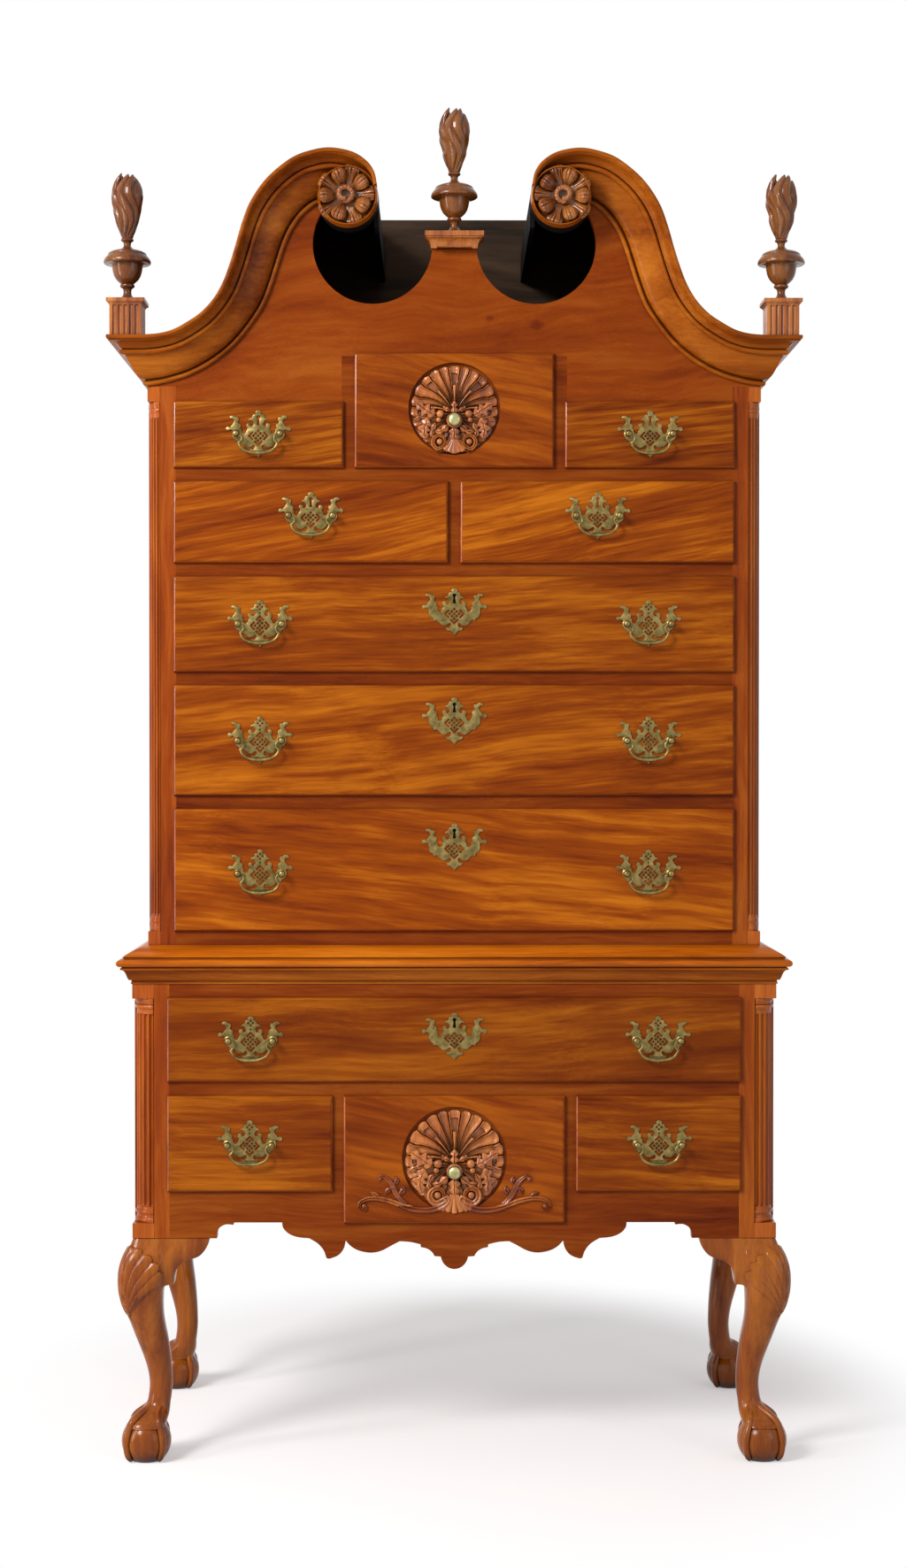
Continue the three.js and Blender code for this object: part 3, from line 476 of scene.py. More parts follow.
# %% Planes and heights that several pieces share
y_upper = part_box("upper_side_right")[0][1]
y_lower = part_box("apron")[0][1]
y_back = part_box("upper_back")[1][1]
upper_half, lower_half = 0.531, 0.556
leg_rise, post_top = 0.3875, 0.853
back_board = 0.012


def front_plane(node):
    """The plane of the case that a drawer closes against."""
    return y_lower if "row6" in node or "row7" in node else y_upper


print("case fronts at", round(y_upper, 5), round(y_lower, 5), "back", round(y_back, 5))

# %% [markdown]
# A drawer is a mahogany front on a box of pale secondary wood. The front laps
# over the case with a thumb-moulded lip: a quarter round with a tiny step at
# its inner edge. A ring of the front's outline is lofted through that section.
# The sides join the front with half-blind dovetails, so dark pins show between
# pale tails when the drawer is pulled out.

# %% Drawer making
def rectangle(x0, x1, z0, z1, cut, y):
    return [(x0 + cut, y, z0 + cut), (x1 - cut, y, z0 + cut),
            (x1 - cut, y, z1 - cut), (x0 + cut, y, z1 - cut)]


def lipped_front(bm, x0, x1, z0, z1, y, hole=None):
    section = [(0, 0.3), (0, 3.2)]
    section += [(4.3 - 4.3 * cos(a), 3.2 + 4.1 * sin(a)) for a in (i * pi / 12 for i in range(1, 7))]
    section += [(4.4, 8.0)]
    rings = [rectangle(x0, x1, z0, z1, cut * mm, y - out * mm) for cut, out in section]
    loft(bm, rings, caps=False)
    bm.verts.ensure_lookup_table()
    bm.faces.new(bm.verts[:4])
    rim = bm.verts[-4:]
    if not hole:
        bm.faces.new(rim)
        return
    x, z, radius, deep = hole
    edges = [bm.edges.get((rim[i], rim[(i + 1) % 4])) for i in range(4)]
    circle = bmesh.ops.create_circle(bm, segments=96, radius=radius, cap_ends=False)["verts"]
    bmesh.ops.rotate(bm, verts=circle, cent=(0, 0, 0), matrix=Matrix.Rotation(pi / 2, 3, "X"))
    bmesh.ops.translate(bm, verts=circle, vec=(x, y - 8.0 * mm, z))
    wall = list({e for v in circle for e in v.link_edges})
    bmesh.ops.triangle_fill(bm, edges=edges + wall, use_beauty=True)
    made = bmesh.ops.extrude_edge_only(bm, edges=wall)["geom"]
    floor_ring = [v for v in made if isinstance(v, bmesh.types.BMVert)]
    bmesh.ops.translate(bm, verts=floor_ring, vec=(0, deep, 0))
    bmesh.ops.contextual_create(bm, geom=[e for e in made if isinstance(e, bmesh.types.BMEdge)
                                          and all(v in floor_ring for v in e.verts)])


def side_sheet(bm, outline, x0, x1):
    loft(bm, [[(x, y, z) for y, z in outline] for x in (x0, x1)])


def dovetails(y_deep, y_open, z0, z1):
    """Rows of tail corners: wide at y_open, narrow at y_deep."""
    count = max(2, round((z1 - z0) / 0.036))
    pitch = (z1 - z0) / count
    rows = []
    for i in range(count):
        mid = z0 + (i + 0.5) * pitch
        rows.append([(y_deep, mid - pitch * 0.29), (y_open, mid - pitch * 0.41),
                     (y_open, mid + pitch * 0.41), (y_deep, mid + pitch * 0.29)])
    return rows


def make_drawer(node, finish, hole=None):
    (x0, _, z0), (x1, _, z1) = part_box(node)
    y = front_plane(node)
    front = bmesh.new()
    lipped_front(front, x0, x1, z0, z1, y, hole)
    box = bmesh.new()
    w0, w1 = x0 + 5.5 * mm, x1 - 5.5 * mm
    b0, b1 = z0 + 4.3 * mm, z1 - 7 * mm
    wall, y_end = 12 * mm, y_back - 20 * mm
    block(front, (w0 + wall, y - 0.3 * mm, b0), (w1 - wall, y + 16 * mm, b1))
    block(front, (w0, y - 0.3 * mm, b0), (w1, y + 3 * mm, b1))
    ahead = dovetails(y + 16 * mm, y + 3 * mm, b0, b1)
    behind = dovetails(y_end - wall, y_end, b0, b1)
    outline = [p for row in ahead for p in row]
    outline = ([(y + 16 * mm, b0)] + outline + [(y + 16 * mm, b1), (y_end - wall, b1)]
               + [p for row in reversed(behind) for p in reversed(row)] + [(y_end - wall, b0)])
    edges = [[(y + 3 * mm, b0), (y + 16 * mm, b0)]] + ahead + [[(y + 16 * mm, b1), (y + 3 * mm, b1)]]
    ends = [[(y_end, b0), (y_end - wall, b0)]] + behind + [[(y_end - wall, b1), (y_end, b1)]]
    for a, b in ((w0, w0 + wall), (w1 - wall, w1)):
        side_sheet(box, outline, a, b)
        for made, rows in ((front, edges), (box, ends)):
            for low, high in zip(rows, rows[1:]):
                side_sheet(made, low[-2:] + high[:2], a + 0.1 * mm, b - 0.1 * mm)
    block(box, (w0 + wall, y_end - wall, b0 + 4 * mm), (w1 - wall, y_end, b1 - 3 * mm))
    block(box, (w0 + wall / 2, y + 12 * mm, b0 + 3 * mm), (w1 - wall / 2, y_end - 2 * mm, b0 + 9 * mm))
    made = piece(f"{node}_front", front, finish, node, [node], slot="drawer_fronts", smooth=30)
    # Painted light and shade on each lip: faces that look left take the lighter, glossier lip wood, and faces
    # that look right or down take the darker rails' wood as painted shade.
    lip = range(round(y * 1e4) - 79, round(y * 1e4) - 2)
    second_finish(made, lit_lip_wood, lambda f: round(f.center.y * 1e4) in lip and f.normal.x < -0.2)
    second_finish(made, case_x, lambda f: round(f.center.y * 1e4) in lip
                  and (f.normal.x > 0.2 or f.normal.z < -0.2))
    piece(f"{node}_box", box, pine, node, slot="drawer_fronts")


# %% [markdown]
# No two fronts are cut from the same spot of the board. The two small rows have
# the strongest ribbon, leaning down to the right; the wide rows have a mottled
# figure that leans up; the lower case is plainer. The shells lean up more.

# %% Drawers
fronts = {}
for row, share, slant, figure, across, along, shift, bend, broad in (
        ("row1", 0.76, 6, 0.44, 104, 6.0, (0.7, 0, 0.15), 0.035, 0.42),
        ("row2", 0.94, 11, 0.38, 86, 5.0, (1.9, 0, 0.5), 0.045, 0.36),
        ("row3", 0.83, 3, 0.34, 74, 5.5, (3.1, 0, 0.9), 0.04, 0.36),
        ("row4", 0.87, 5, 0.38, 66, 4.5, (4.4, 0, 0.2), 0.05, 0.36),
        ("row5", 0.98, -5, 0.36, 60, 4.5, (5.3, 0, 0.7), 0.05, 0.4),
        ("row6", 0.72, 2, 0.28, 52, 3.6, (6.6, 0, 0.4), 0.05, 0.5),
        ("row7", 0.79, -2, 0.36, 70, 4.0, (7.2, 0, 0.1), 0.05, 0.5)):
    fronts[row] = wood(f"front_{row}", *dimmed(front_colours, share), slant=slant, figure=figure,
                       across=across, along=along, shift=shift, bend=bend, broad=broad, specular=0.09)
shell_wood = wood("front_shells", srgb(172, 88, 17), srgb(134, 58, 8), srgb(98, 35, 4), specular=0.09,
                  slant=-12, figure=0.36, across=50, along=4, shift=(8.5, 0, 0.6), bend=0.08)
shell_floor = 0.007
# Of each shell: the knob's height, the middle and radius of its sinking, and the size of its leaves.
shells = {"drawer_row1_centre": (1.8000, 1.8205, 0.0795, 0.88),
          "drawer_row7_centre": (0.50475, 0.5255, 0.0905, 1.0)}
for node in sorted(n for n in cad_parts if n.startswith("drawer_")):
    if node in shells:
        _, z_middle, radius, _ = shells[node]
        make_drawer(node, shell_wood, (0.0, z_middle, radius, shell_floor))
    else:
        make_drawer(node, fronts[node.split("_")[1]])
print("drawers made")

# %% [markdown]
# The brasses. Each plate is a casting 1.6 mm thick, sawn and filed to a
# symmetrical outline of scrolls and pierced with a fret. The easiest way to get
# a flat shape with holes is a flat curve with several closed outlines: Blender
# fills between them and rounds the edges. The curve is then made a mesh.

# %% Plate outline
plate_half = [
    (0, 41.4), (2.6, 40.8), (4.9, 38.4), (5.0, 36.0), (4.2, 34.6), (7.4, 34.6), (9.6, 32.6),
    (10.3, 29.6), (12.6, 28.0), (15.4, 26.4), (16.4, 24.2), (13.4, 24.4), (10.0, 22.6),
    (8.2, 19.4), (8.4, 16.0), (10.8, 13.8), (13.4, 14.0), (14.0, 16.8), (15.4, 18.9),
    (18.2, 18.9), (20.4, 16.4), (20.3, 13.2), (18.9, 11.2), (18.9, 8.6), (20.6, 6.2),
    (21.4, 3.2), (23.6, 1.0), (26.6, 1.2), (28.8, 3.6), (29.2, 7.2), (28.8, 9.8), (31.4, 9.2),
    (30.6, 12.8), (31.0, 16.6), (34.0, 18.4), (35.6, 20.2), (34.6, 23.4), (33.8, 26.2),
    (35.2, 29.2), (38.4, 29.0), (42.0, 31.8), (46.4, 32.2), (49.4, 30.2), (48.8, 27.4),
    (45.4, 27.2), (43.0, 25.2), (41.8, 22.2), (43.6, 18.4), (46.6, 14.6), (48.8, 12.0),
    (51.4, 13.4), (54.8, 12.2), (56.2, 8.8), (54.2, 6.0), (50.8, 6.4), (47.4, 8.0),
    (44.6, 6.4), (44.2, 2.8), (44.2, -2.2), (42.6, -7.0), (38.8, -10.0), (36.2, -11.8),
    (36.0, -15.8), (33.4, -14.2), (30.0, -14.4), (27.2, -16.8), (23.8, -20.2), (20.0, -22.6),
    (16.0, -23.0), (12.2, -21.2), (9.0, -18.6), (6.4, -20.0), (6.0, -23.2), (8.2, -26.2),
    (12.4, -26.6), (14.6, -25.8), (13.8, -30.0), (10.4, -31.8), (6.4, -32.2), (4.2, -35.2),
    (1.6, -37.6), (0, -40.8)]


def bent(points, steps=2):
    return [tuple(p) for p in curve_through(points, steps)]


def chevron(turn):
    shape = [(-18.2, 0), (-10.3, 7.9), (-7.9, 5.5), (-13.4, 0), (-7.9, -5.5), (-10.3, -7.9)]
    c, s = cos(turn), sin(turn)
    return [(x * c - z * s, x * s + z * c - 2.9) for x, z in shape]


def diamond(x, z, half):
    return [(x - half, z), (x, z + half), (x + half, z), (x, z - half)]


fret = [chevron(0), chevron(pi), chevron(pi / 2)]
fret += [diamond((a - b) * 4.1, (a + b) * 4.1 - 2.9, 3.0) for a in (-1, 0, 1) for b in (-1, 0, 1)]
keyhole = [(3.3 * sin(a), 29.2 + 3.3 * cos(a)) for a in (radians(d) for d in range(-150, 151, 30))]
keyhole += [(2.6, 15.4), (-2.6, 15.4)]
lattice = [diamond(*row) for row in ((0, 33.4, 2.4), (0, 25.6, 2.4), (3.9, 29.5, 2.4), (-3.9, 29.5, 2.4),
                                     (0, 18.6, 2.0))] + [chevron(-pi / 2)]


def plate_mesh(holes):
    """A bmesh of a pierced plate about its post axis, facing -Y."""
    curve = bpy.data.curves.new("plate", "CURVE")
    curve.dimensions, curve.fill_mode = "2D", "BOTH"
    outline = mirrored(bent(plate_half))
    for points in [outline] + holes:
        spline = curve.splines.new("POLY")
        spline.points.add(len(points) - 1)
        for point, (x, z) in zip(spline.points, points):
            point.co = (x * mm, z * mm, 0, 1)
        spline.use_cyclic_u = True
    curve.extrude, curve.bevel_depth, curve.bevel_resolution = 0.45 * mm, 0.4 * mm, 1
    curve.offset = -0.4 * mm
    made = shown("plate", curve)
    bpy.context.view_layer.update()
    mesh = bpy.data.meshes.new_from_object(made)
    bm = bmesh.new()
    bm.from_mesh(mesh)
    bpy.data.objects.remove(made)
    bpy.data.curves.remove(curve)
    bpy.data.meshes.remove(mesh)
    bmesh.ops.remove_doubles(bm, verts=bm.verts, dist=1e-6)
    bmesh.ops.rotate(bm, verts=bm.verts, cent=(0, 0, 0), matrix=Matrix.Rotation(pi / 2, 3, "X"))
    bmesh.ops.translate(bm, verts=bm.verts, vec=(0, -0.85 * mm, 0))
    return bm


plates = {"keyed": plate_mesh([keyhole] + fret), "latticed": plate_mesh(lattice + fret)}
print("plate faces", {name: len(bm.faces) for name, bm in plates.items()})

# %% [markdown]
# Two turned posts come through each plate and hold the bail. The bail is a rod
# bent in one plane, thickest at the bottom where the fingers go, with a small
# beaded cusp each side. It is lofted along its path and swings in the posts.

# %% Pulls
post_reach = 38.1 * mm
post_profile = [(0, 0.2), (7.2, 0.2), (7.2, 1.6), (5.0, 2.6), (3.6, 3.8), (3.3, 6.6), (4.2, 8.0),
                (5.6, 9.6), (6.4, 12.0), (6.5, 14.0), (6.0, 16.4), (4.6, 18.6), (2.4, 20.0), (0, 20.4)]
bail_half = [(39.4, 0), (36, 0), (32.6, -0.8), (29.6, -3.4), (27.9, -7.0), (28.6, -11.4),
             (32.4, -15.8), (31.6, -20.6), (28.2, -25.6), (22.8, -29.4), (15.6, -31.8),
             (7.6, -33.1), (0, -33.5)]


def rod(bm, path, radius_at, sides=10):
    """A round rod along a path in the XZ plane."""
    rings = []
    for i, (x, z) in enumerate(path):
        (ax, az), (bx, bz) = beside(path, i)
        long = hypot(bx - ax, bz - az)
        tx, tz = (bx - ax) / long, (bz - az) / long
        r = radius_at(i / (len(path) - 1))
        rings.append([Vector((x - tz * r * cos(a), r * sin(a), z + tx * r * cos(a))) * mm
                      for a in (k * 2 * pi / sides for k in range(sides))])
    loft(bm, rings)


def bail_radius(t):
    """Thickest in the middle, with a small bead each side."""
    return 1.45 + 1.55 * sin(pi * t) ** 2.6 + 0.5 * exp(-((abs(t - 0.5) - 0.262) / 0.012) ** 2)


def make_pull(name, drawer):
    (x0, y0, z0), (x1, y1, z1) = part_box(f"bail_{name}")
    x, y, z = (x0 + x1) / 2, (y0 + y1) / 2, z1 - 1.5 * mm
    plate = plates["keyed" if name[3] in "12" else "latticed"].copy()
    front = y + 14 * mm
    bmesh.ops.translate(plate, verts=plate.verts, vec=(x, front, z))
    for side in (-1, 1):
        turning(plate, post_profile, (x + side * post_reach, front - 0.8 * mm, z), 20, "-Y")
    piece(f"pull_{name}", plate, brass, drawer, slot="brass", smooth=32)
    bail = bmesh.new()
    half = bent(bail_half, 4)
    rod(bail, half + [(-px, pz) for px, pz in reversed(half[:-1])], bail_radius)
    for side in (-1, 1):
        made = bmesh.ops.create_icosphere(bail, subdivisions=2, radius=2.5 * mm)["verts"]
        bmesh.ops.translate(bail, verts=made, vec=(side * 33.4 * mm, 0, -16.6 * mm))
    bmesh.ops.translate(bail, verts=bail.verts, vec=(x, y, z))
    piece(f"hung_{name}", bail, brass, f"bail_{name}", [f"bail_{name}"], slot="brass", smooth=50)


bails = sorted(n[5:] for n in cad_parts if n.startswith("bail_"))
for name in bails:
    row = name.split("_")[0]
    make_pull(name, f"drawer_{row}" if f"drawer_{row}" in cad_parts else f"drawer_{name}")
print("pulls made", len(bails))

# %% [markdown]
# The same plate without posts is the escutcheon of the four wide drawers, held
# by small round-headed pins over the keyhole. A keyhole shows as a black slot:
# a thin near-black sheet just behind the brass is the painted shade of the hole.

# %% Escutcheons and knobs
for row, z in (("row3", 1.469), ("row4", 1.2805), ("row5", 1.0625), ("row6", 0.737)):
    y = front_plane(row) - 8 * mm
    plate = plates["keyed"].copy()
    bmesh.ops.translate(plate, verts=plate.verts, vec=(0, y, z))
    for px, pz in ((-38.1, 0.5), (38.1, 0.5), (0, -29.5)):
        turning(plate, [(1.5, 1.2), (1.4, 2.0), (0.9, 2.5), (0, 2.7)], (px * mm, y, z + pz * mm), 10, "-Y")
    piece(f"escutcheon_{row}", plate, brass, f"drawer_{row}", slot="brass", smooth=32)
    # Painted shade: a near-black sheet behind the keyhole stands for the dark inside of the hole.
    hole = bmesh.new()
    board(hole, [(px * 1.15 * mm, z + 22 * mm + (pz - 22) * 1.1 * mm) for px, pz in keyhole],
          y - 0.1 * mm, y - 0.35 * mm)
    piece(f"keyhole_{row}", hole, keyhole_shade, f"drawer_{row}", slot="drawer_fronts")

knob_profile = [(0, -4), (5.2, -4), (5.0, 6.5), (5.4, 8.6), (8.0, 10.4), (11.0, 12.6), (12.0, 15.6),
                (11.6, 18.6), (9.8, 21.4), (6.6, 23.2), (3.2, 23.9), (0, 24)]
for node, (z_knob, _, _, _) in shells.items():
    bm = bmesh.new()
    turning(bm, knob_profile, (0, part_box(node)[0][1] + 24 * mm, z_knob), 32, "-Y")
    piece(node.replace("drawer", "knob"), bm, knob_brass, node, slot="brass", smooth=60)
print("escutcheons and knobs made")

# %% [markdown]
# The cornice is one moulding that comes round the side, mitres at the corner
# and climbs the front as a scroll. On the bench it is carved from the solid,
# because no plane can follow the curve. Here its cross section is a list of
# points, out and up, and the section is lofted between two curves, the scroll's
# outer and inner edges, which fan out round the centre of the scroll's end.

# %% Scroll curves
z_cornice, z_cornice_top = 1.860, 1.939
cornice_out, cornice_deep, end_radius = 0.063, 0.065, 0.0525
scroll_rows = [
    (531, 1939, 531, 1860), (505, 1941, 497, 1866), (480, 1947.5, 455, 1879.5), (455, 1961, 415, 1901.5),
    (432, 1977, 380, 1930), (411, 2000, 350, 1966), (395.5, 2027, 328, 2000), (384, 2057, 314, 2035),
    (374.5, 2087, 303, 2069), (362, 2130, 291, 2105), (347, 2167, 278, 2132), (319, 2206, 262, 2154),
    (279, 2238.6, 244, 2169.5), (245, 2252, 228, 2175.5), (212, 2257, 212, 2178), (175, 2250, 198, 2178.5),
    (150, 2234.5, 188, 2177.5), (137, 2216, 184, 2176), (132.5, 2196, 182.5, 2174)]
roof_tail = [(131, 2168), (130.7, 2134.6)]
scroll_end = (0.1825, 2.1775)
outer_edge = curve_through([(a * mm, b * mm) for a, b, _, _ in scroll_rows], 5)
inner_edge = curve_through([(a * mm, b * mm) for _, _, a, b in scroll_rows], 5)
roof_edge = curve_through([(row[0] * mm, row[1] * mm) for row in scroll_rows + roof_tail], 5)
print("scroll stations", len(outer_edge))


def runs(*parts):
    """Smooth runs joined at sharp corners; a tuple (points, steps) is smoothed."""
    made = []
    for points, steps in parts:
        row = [tuple(p) for p in (curve_through(points, steps) if steps > 1 else points)]
        made += row[1:] if made and row[0] == made[-1] else row
    return made


# %% Cornice
cornice_section = runs(
    ([(0, 0), (0.055, 0)], 1),
    ([(0.055, 0), (0.098, 0.02), (0.115, 0.056), (0.098, 0.092), (0.055, 0.11)], 2),
    ([(0.055, 0.11), (0.045, 0.137), (0.125, 0.137)], 1),
    ([(0.125, 0.137), (0.20, 0.160), (0.27, 0.215), (0.34, 0.305), (0.41, 0.415), (0.485, 0.53),
      (0.54, 0.615)], 3),
    ([(0.54, 0.615), (0.61, 0.615)], 1),
    ([(0.61, 0.615), (0.655, 0.635), (0.672, 0.675), (0.655, 0.712), (0.61, 0.728)], 2),
    ([(0.61, 0.728), (0.60, 0.742), (0.645, 0.742)], 1),
    ([(0.645, 0.742), (0.675, 0.765), (0.70, 0.80), (0.745, 0.84), (0.83, 0.868), (0.925, 0.885),
      (0.945, 0.910)], 3),
    ([(0.945, 0.910), (0.985, 0.915), (1.0, 0.940), (1.0, 0.980), (0.985, 1.0)], 2),
    ([(0.985, 1.0), (0, 1.0)], 1))


def cornice_bmesh():
    bm = bmesh.new()
    high = z_cornice_top - z_cornice
    rings = [[(upper_half + out * cornice_out, y_back if behind else y_upper - out * cornice_deep,
               z_cornice + up * high) for out, up in cornice_section] for behind in (True, False)]
    for (ox, oz), (ix, iz) in zip(outer_edge, inner_edge):
        rings.append([(ix + (ox - ix) * up, y_upper - out * cornice_deep, iz + (oz - iz) * up)
                      for out, up in cornice_section])
    loft(bm, rings)
    turning(bm, [(0, 0), (52.5, 0), (52.5, 40), (50.8, 52), (50.5, 57.4), (49.8, 58.6), (48.4, 58.6),
                 (47.6, 57), (47, 52), (45.6, 48), (42, 46), (0, 46)],
            (scroll_end[0], y_upper, scroll_end[1]), 96, "-Y")
    return bm


def on_end_barrel(face):
    """The long sides of the drum that ends a scroll, which take the hood's near-black finish as painted
    shade.
    """
    x, y, z = face.center
    far = hypot(abs(x) - scroll_end[0], z - scroll_end[1])
    return abs(y - y_upper + 0.020) < 0.0005 and abs(far - end_radius) < 0.0003


# Painted shade: the long sides of each scroll's end drum take the near-black hood finish.
for cornice in pair("cornice_moulding", cornice_bmesh(), moulded, nodes=["cornice"], smooth=28):
    second_finish(cornice, pitch, on_end_barrel)
print("cornice made")

# %% [markdown]
# The tympanum is one wide board. Its top edge hides behind the cornice; what
# shows are the two round openings and the neck between them, so those arcs are
# worked out finely. The bonnet roof is thin boards bent over the scroll, and
# their insides take a near-black finish as painted shade, which is why the openings look like night.

# %% Tympanum and bonnet
def offset(points, distance):
    made = []
    for i, p in enumerate(points):
        a, b = beside(points, i)
        d = (Vector(b) - Vector(a)).normalized()
        made.append((p[0] - d.y * distance, p[1] + d.x * distance))
    return made


eye = Vector((0.1415, 2.1060))
under_roof = offset(roof_edge, 0.0083)[:len(outer_edge)]
under_roof = [(upper_half, z_cornice_top - 0.0083)] + [
    p for p in under_roof[1:] if p[0] < upper_half and (Vector(p) - eye).length > 0.1055]
arc = [tuple(eye + 0.1035 * Vector((cos(a), sin(a))))
       for a in (radians(62 - i * (62 + 175.5) / 90) for i in range(91))]
half = ([(0, 1.9125), (0.195, 1.9125), (0.195, 1.8295), (0.482, 1.8295), (0.482, z_cornice),
         (upper_half, z_cornice)] + under_roof + arc + [(arc[-1][0], 2.097), (0, 2.097)])
bm = bmesh.new()
board(bm, mirrored(half), y_upper, y_upper + 0.022)
for side in (-1, 1):
    turning(bm, [(0, 0), (42, 0), (42, 22), (0, 22)],
            (side * scroll_end[0], y_upper + 0.022, scroll_end[1]), 48, "-Y")
piece("tympanum_board", bm, board_x, stands_for=["tympanum"])

bm = bmesh.new()
roof_under = offset(roof_edge, 0.008)
roof_under[0] = (upper_half, z_cornice_top - 0.008)
board(bm, [tuple(p) for p in roof_edge] + roof_under[::-1], y_upper, y_back - back_board)
# Painted shade: the bonnet boards take the near-black finish for the shade inside the hood.
pair("bonnet_boards", bm, pitch, nodes=["bonnet_roof"], smooth=30, slot="inner_wood")
z_gable = 2.2315
gable = [tuple(p) for p in roof_under if p[1] > z_gable]
bm = bmesh.new()
board(bm, gable, y_back - 2 * back_board, y_back - back_board - 0.0005)
# Painted shade: the gable behind the bonnet takes the near-black finish too.
pair("bonnet_gable", bm, pitch, slot="inner_wood")
print("tympanum and bonnet made")

# %% [markdown]
# A fluted quarter column fills each front corner between two square blocks. A
# turner makes a whole column and saws it in four. Each ring of the loft is a
# quarter circle with hollows cut into it; the hollows fade out near the two
# ends of the shaft, and the rings swell into base and capital mouldings.

# %% Quarter columns
def column_radius(z, z0, z1, radius, inset):
    """Base and capital, as millimetres up from the foot or down from the top."""
    rows = [(0, 0), (1, 0.3), (4, 0.9), (7, 0.3), (8, -0.5), (8.2, -2.2), (12, -3.4), (16, -2.0),
            (16.2, -0.6), (19, 0.1), (21.5, -0.6), (22, -2.6), (24, -3.5)]
    down = [(0, 0.2), (5, 0.2), (5.2, -0.9), (8, -1.6), (11, -3.0), (12, -3.4), (12.2, -0.8), (15, 0.2),
            (17.8, -0.8), (18, -2.6), (19, -3.2), (24, -3.5)]
    for table, far in ((rows, (z - z0) / mm), (down, (z1 - z) / mm)):
        if far <= table[-1][0]:
            return radius + (along_table(table, far) - 0.9) * inset / 4.4
    return radius - inset


def quarter_column(x, y, radius, inset, z0, foot, cap, z1, flutes=5):
    bm = bmesh.new()
    for low, high in ((z0, foot), (cap, z1)):
        block(bm, (x - radius, y, low), (x, y + radius, high), 0.4 * mm)
    from_foot = (0, 1, 2.5, 4, 5.5, 7, 8, 8.2, 10, 12, 14, 16, 16.2, 17.5, 19, 21.5, 22, 24, 27, 28, 29,
                 30.5, 32, 40)
    from_cap = (0, 5, 5.2, 7, 8, 9.5, 11, 12, 12.2, 13.5, 15, 16.5, 17.8, 18, 19, 24, 27, 28, 29, 30.5,
                32, 40)
    levels = sorted({foot + s * mm for s in from_foot} | {cap - s * mm for s in from_cap}
                    | {foot + (cap - foot) * k / 12 for k in range(2, 11)})
    rings = []
    for z in levels:
        into = min(z - foot, cap - z) / mm
        rising = max(0.0, min(1.0, (into - 27) / 5))
        deep = 0.125 * radius * sqrt(rising * (2 - rising))
        ring = [(x - radius, y + radius, z)]
        for k in range(101):
            a = k / 100 * pi / 2
            phase = k / 100 * flutes % 1.0
            cut = deep * sqrt(max(0.0, 1 - ((phase - 0.5) / 0.36) ** 2)) + (0.0022 if k < 3 else 0.0)
            r = column_radius(z, foot, cap, radius, inset) - cut
            ring.append((x - radius + sin(a) * r, y + radius - cos(a) * r, z))
        rings.append(ring)
    loft(bm, rings)
    return bm


lower_column_radius = 0.0375
for name, column in (
        ("upper", quarter_column(upper_half, y_upper, 0.022, 0.0018, post_top, 0.9165, 1.8335, z_cornice)),
        ("lower", quarter_column(lower_half, y_lower, lower_column_radius, 0.0038, leg_rise, 0.4135, 0.802,
                                 post_top))):
    pair(f"{name}_quarter_column", column, fluted, nodes=[f"{name}_column"], smooth=30)
print("columns made")

# %% [markdown]
# The waist moulding covers the joint of the two cases: the upper one drops
# inside it. One section runs round three sides with two mitres.

# %% Waist moulding
waist_section = runs(
    ([(-0.90, 1.0), (-0.58, 0.962), (-0.24, 0.905), (0.08, 0.842), (0.38, 0.780), (0.60, 0.716)], 2),
    ([(0.60, 0.716), (0.52, 0.690), (0.52, 0.668), (0.68, 0.662)], 1),
    ([(0.68, 0.662), (0.90, 0.630), (1.0, 0.565), (0.94, 0.500), (0.80, 0.468)], 3),
    ([(0.80, 0.468), (0.64, 0.462), (0.64, 0.436), (0.74, 0.430), (0.74, 0.384), (0.60, 0.374)], 1),
    ([(0.60, 0.374), (0.50, 0.345), (0.38, 0.262), (0.30, 0.172), (0.20, 0.106)], 3),
    ([(0.20, 0.106), (0.04, 0.100), (0.04, 0.046), (0.08, 0.040), (0.08, 0.0)], 1))
waist_foot, waist_out, waist_high = 0.8275, 0.025, 0.0655
z_waist_split = 0.8575
profile = [(0, waist_foot), (0, post_top), (-0.0247, post_top), (-0.0247, waist_foot + waist_high)]
profile += [(out * waist_out, waist_foot + up * waist_high) for out, up in waist_section]
bm = bmesh.new()
loft(bm, [[(side * (lower_half + out), y_lower - out if ahead else y_back, z) for out, z in profile]
          for side, ahead in ((-1, False), (-1, True), (1, True), (1, False))])
waist = piece("waist_mould", bm, lit_waist_wood, stands_for=["waist_moulding"], smooth=28)
# Painted light: the upward-facing top of the waist moulding keeps the lighter golden copy, and the faces
# below the split take the plainer mouldings' wood.
second_finish(waist, moulded, lambda f: f.center.z < z_waist_split)
print("waist moulding made")

# %% [markdown]
# The apron's lower edge is sawn to a symmetrical outline of ogees and cusps
# with a round drop in the middle. Smooth runs meet at sharp corners, as the
# saw turns. Behind it lie the boards that the lowest drawers run on.

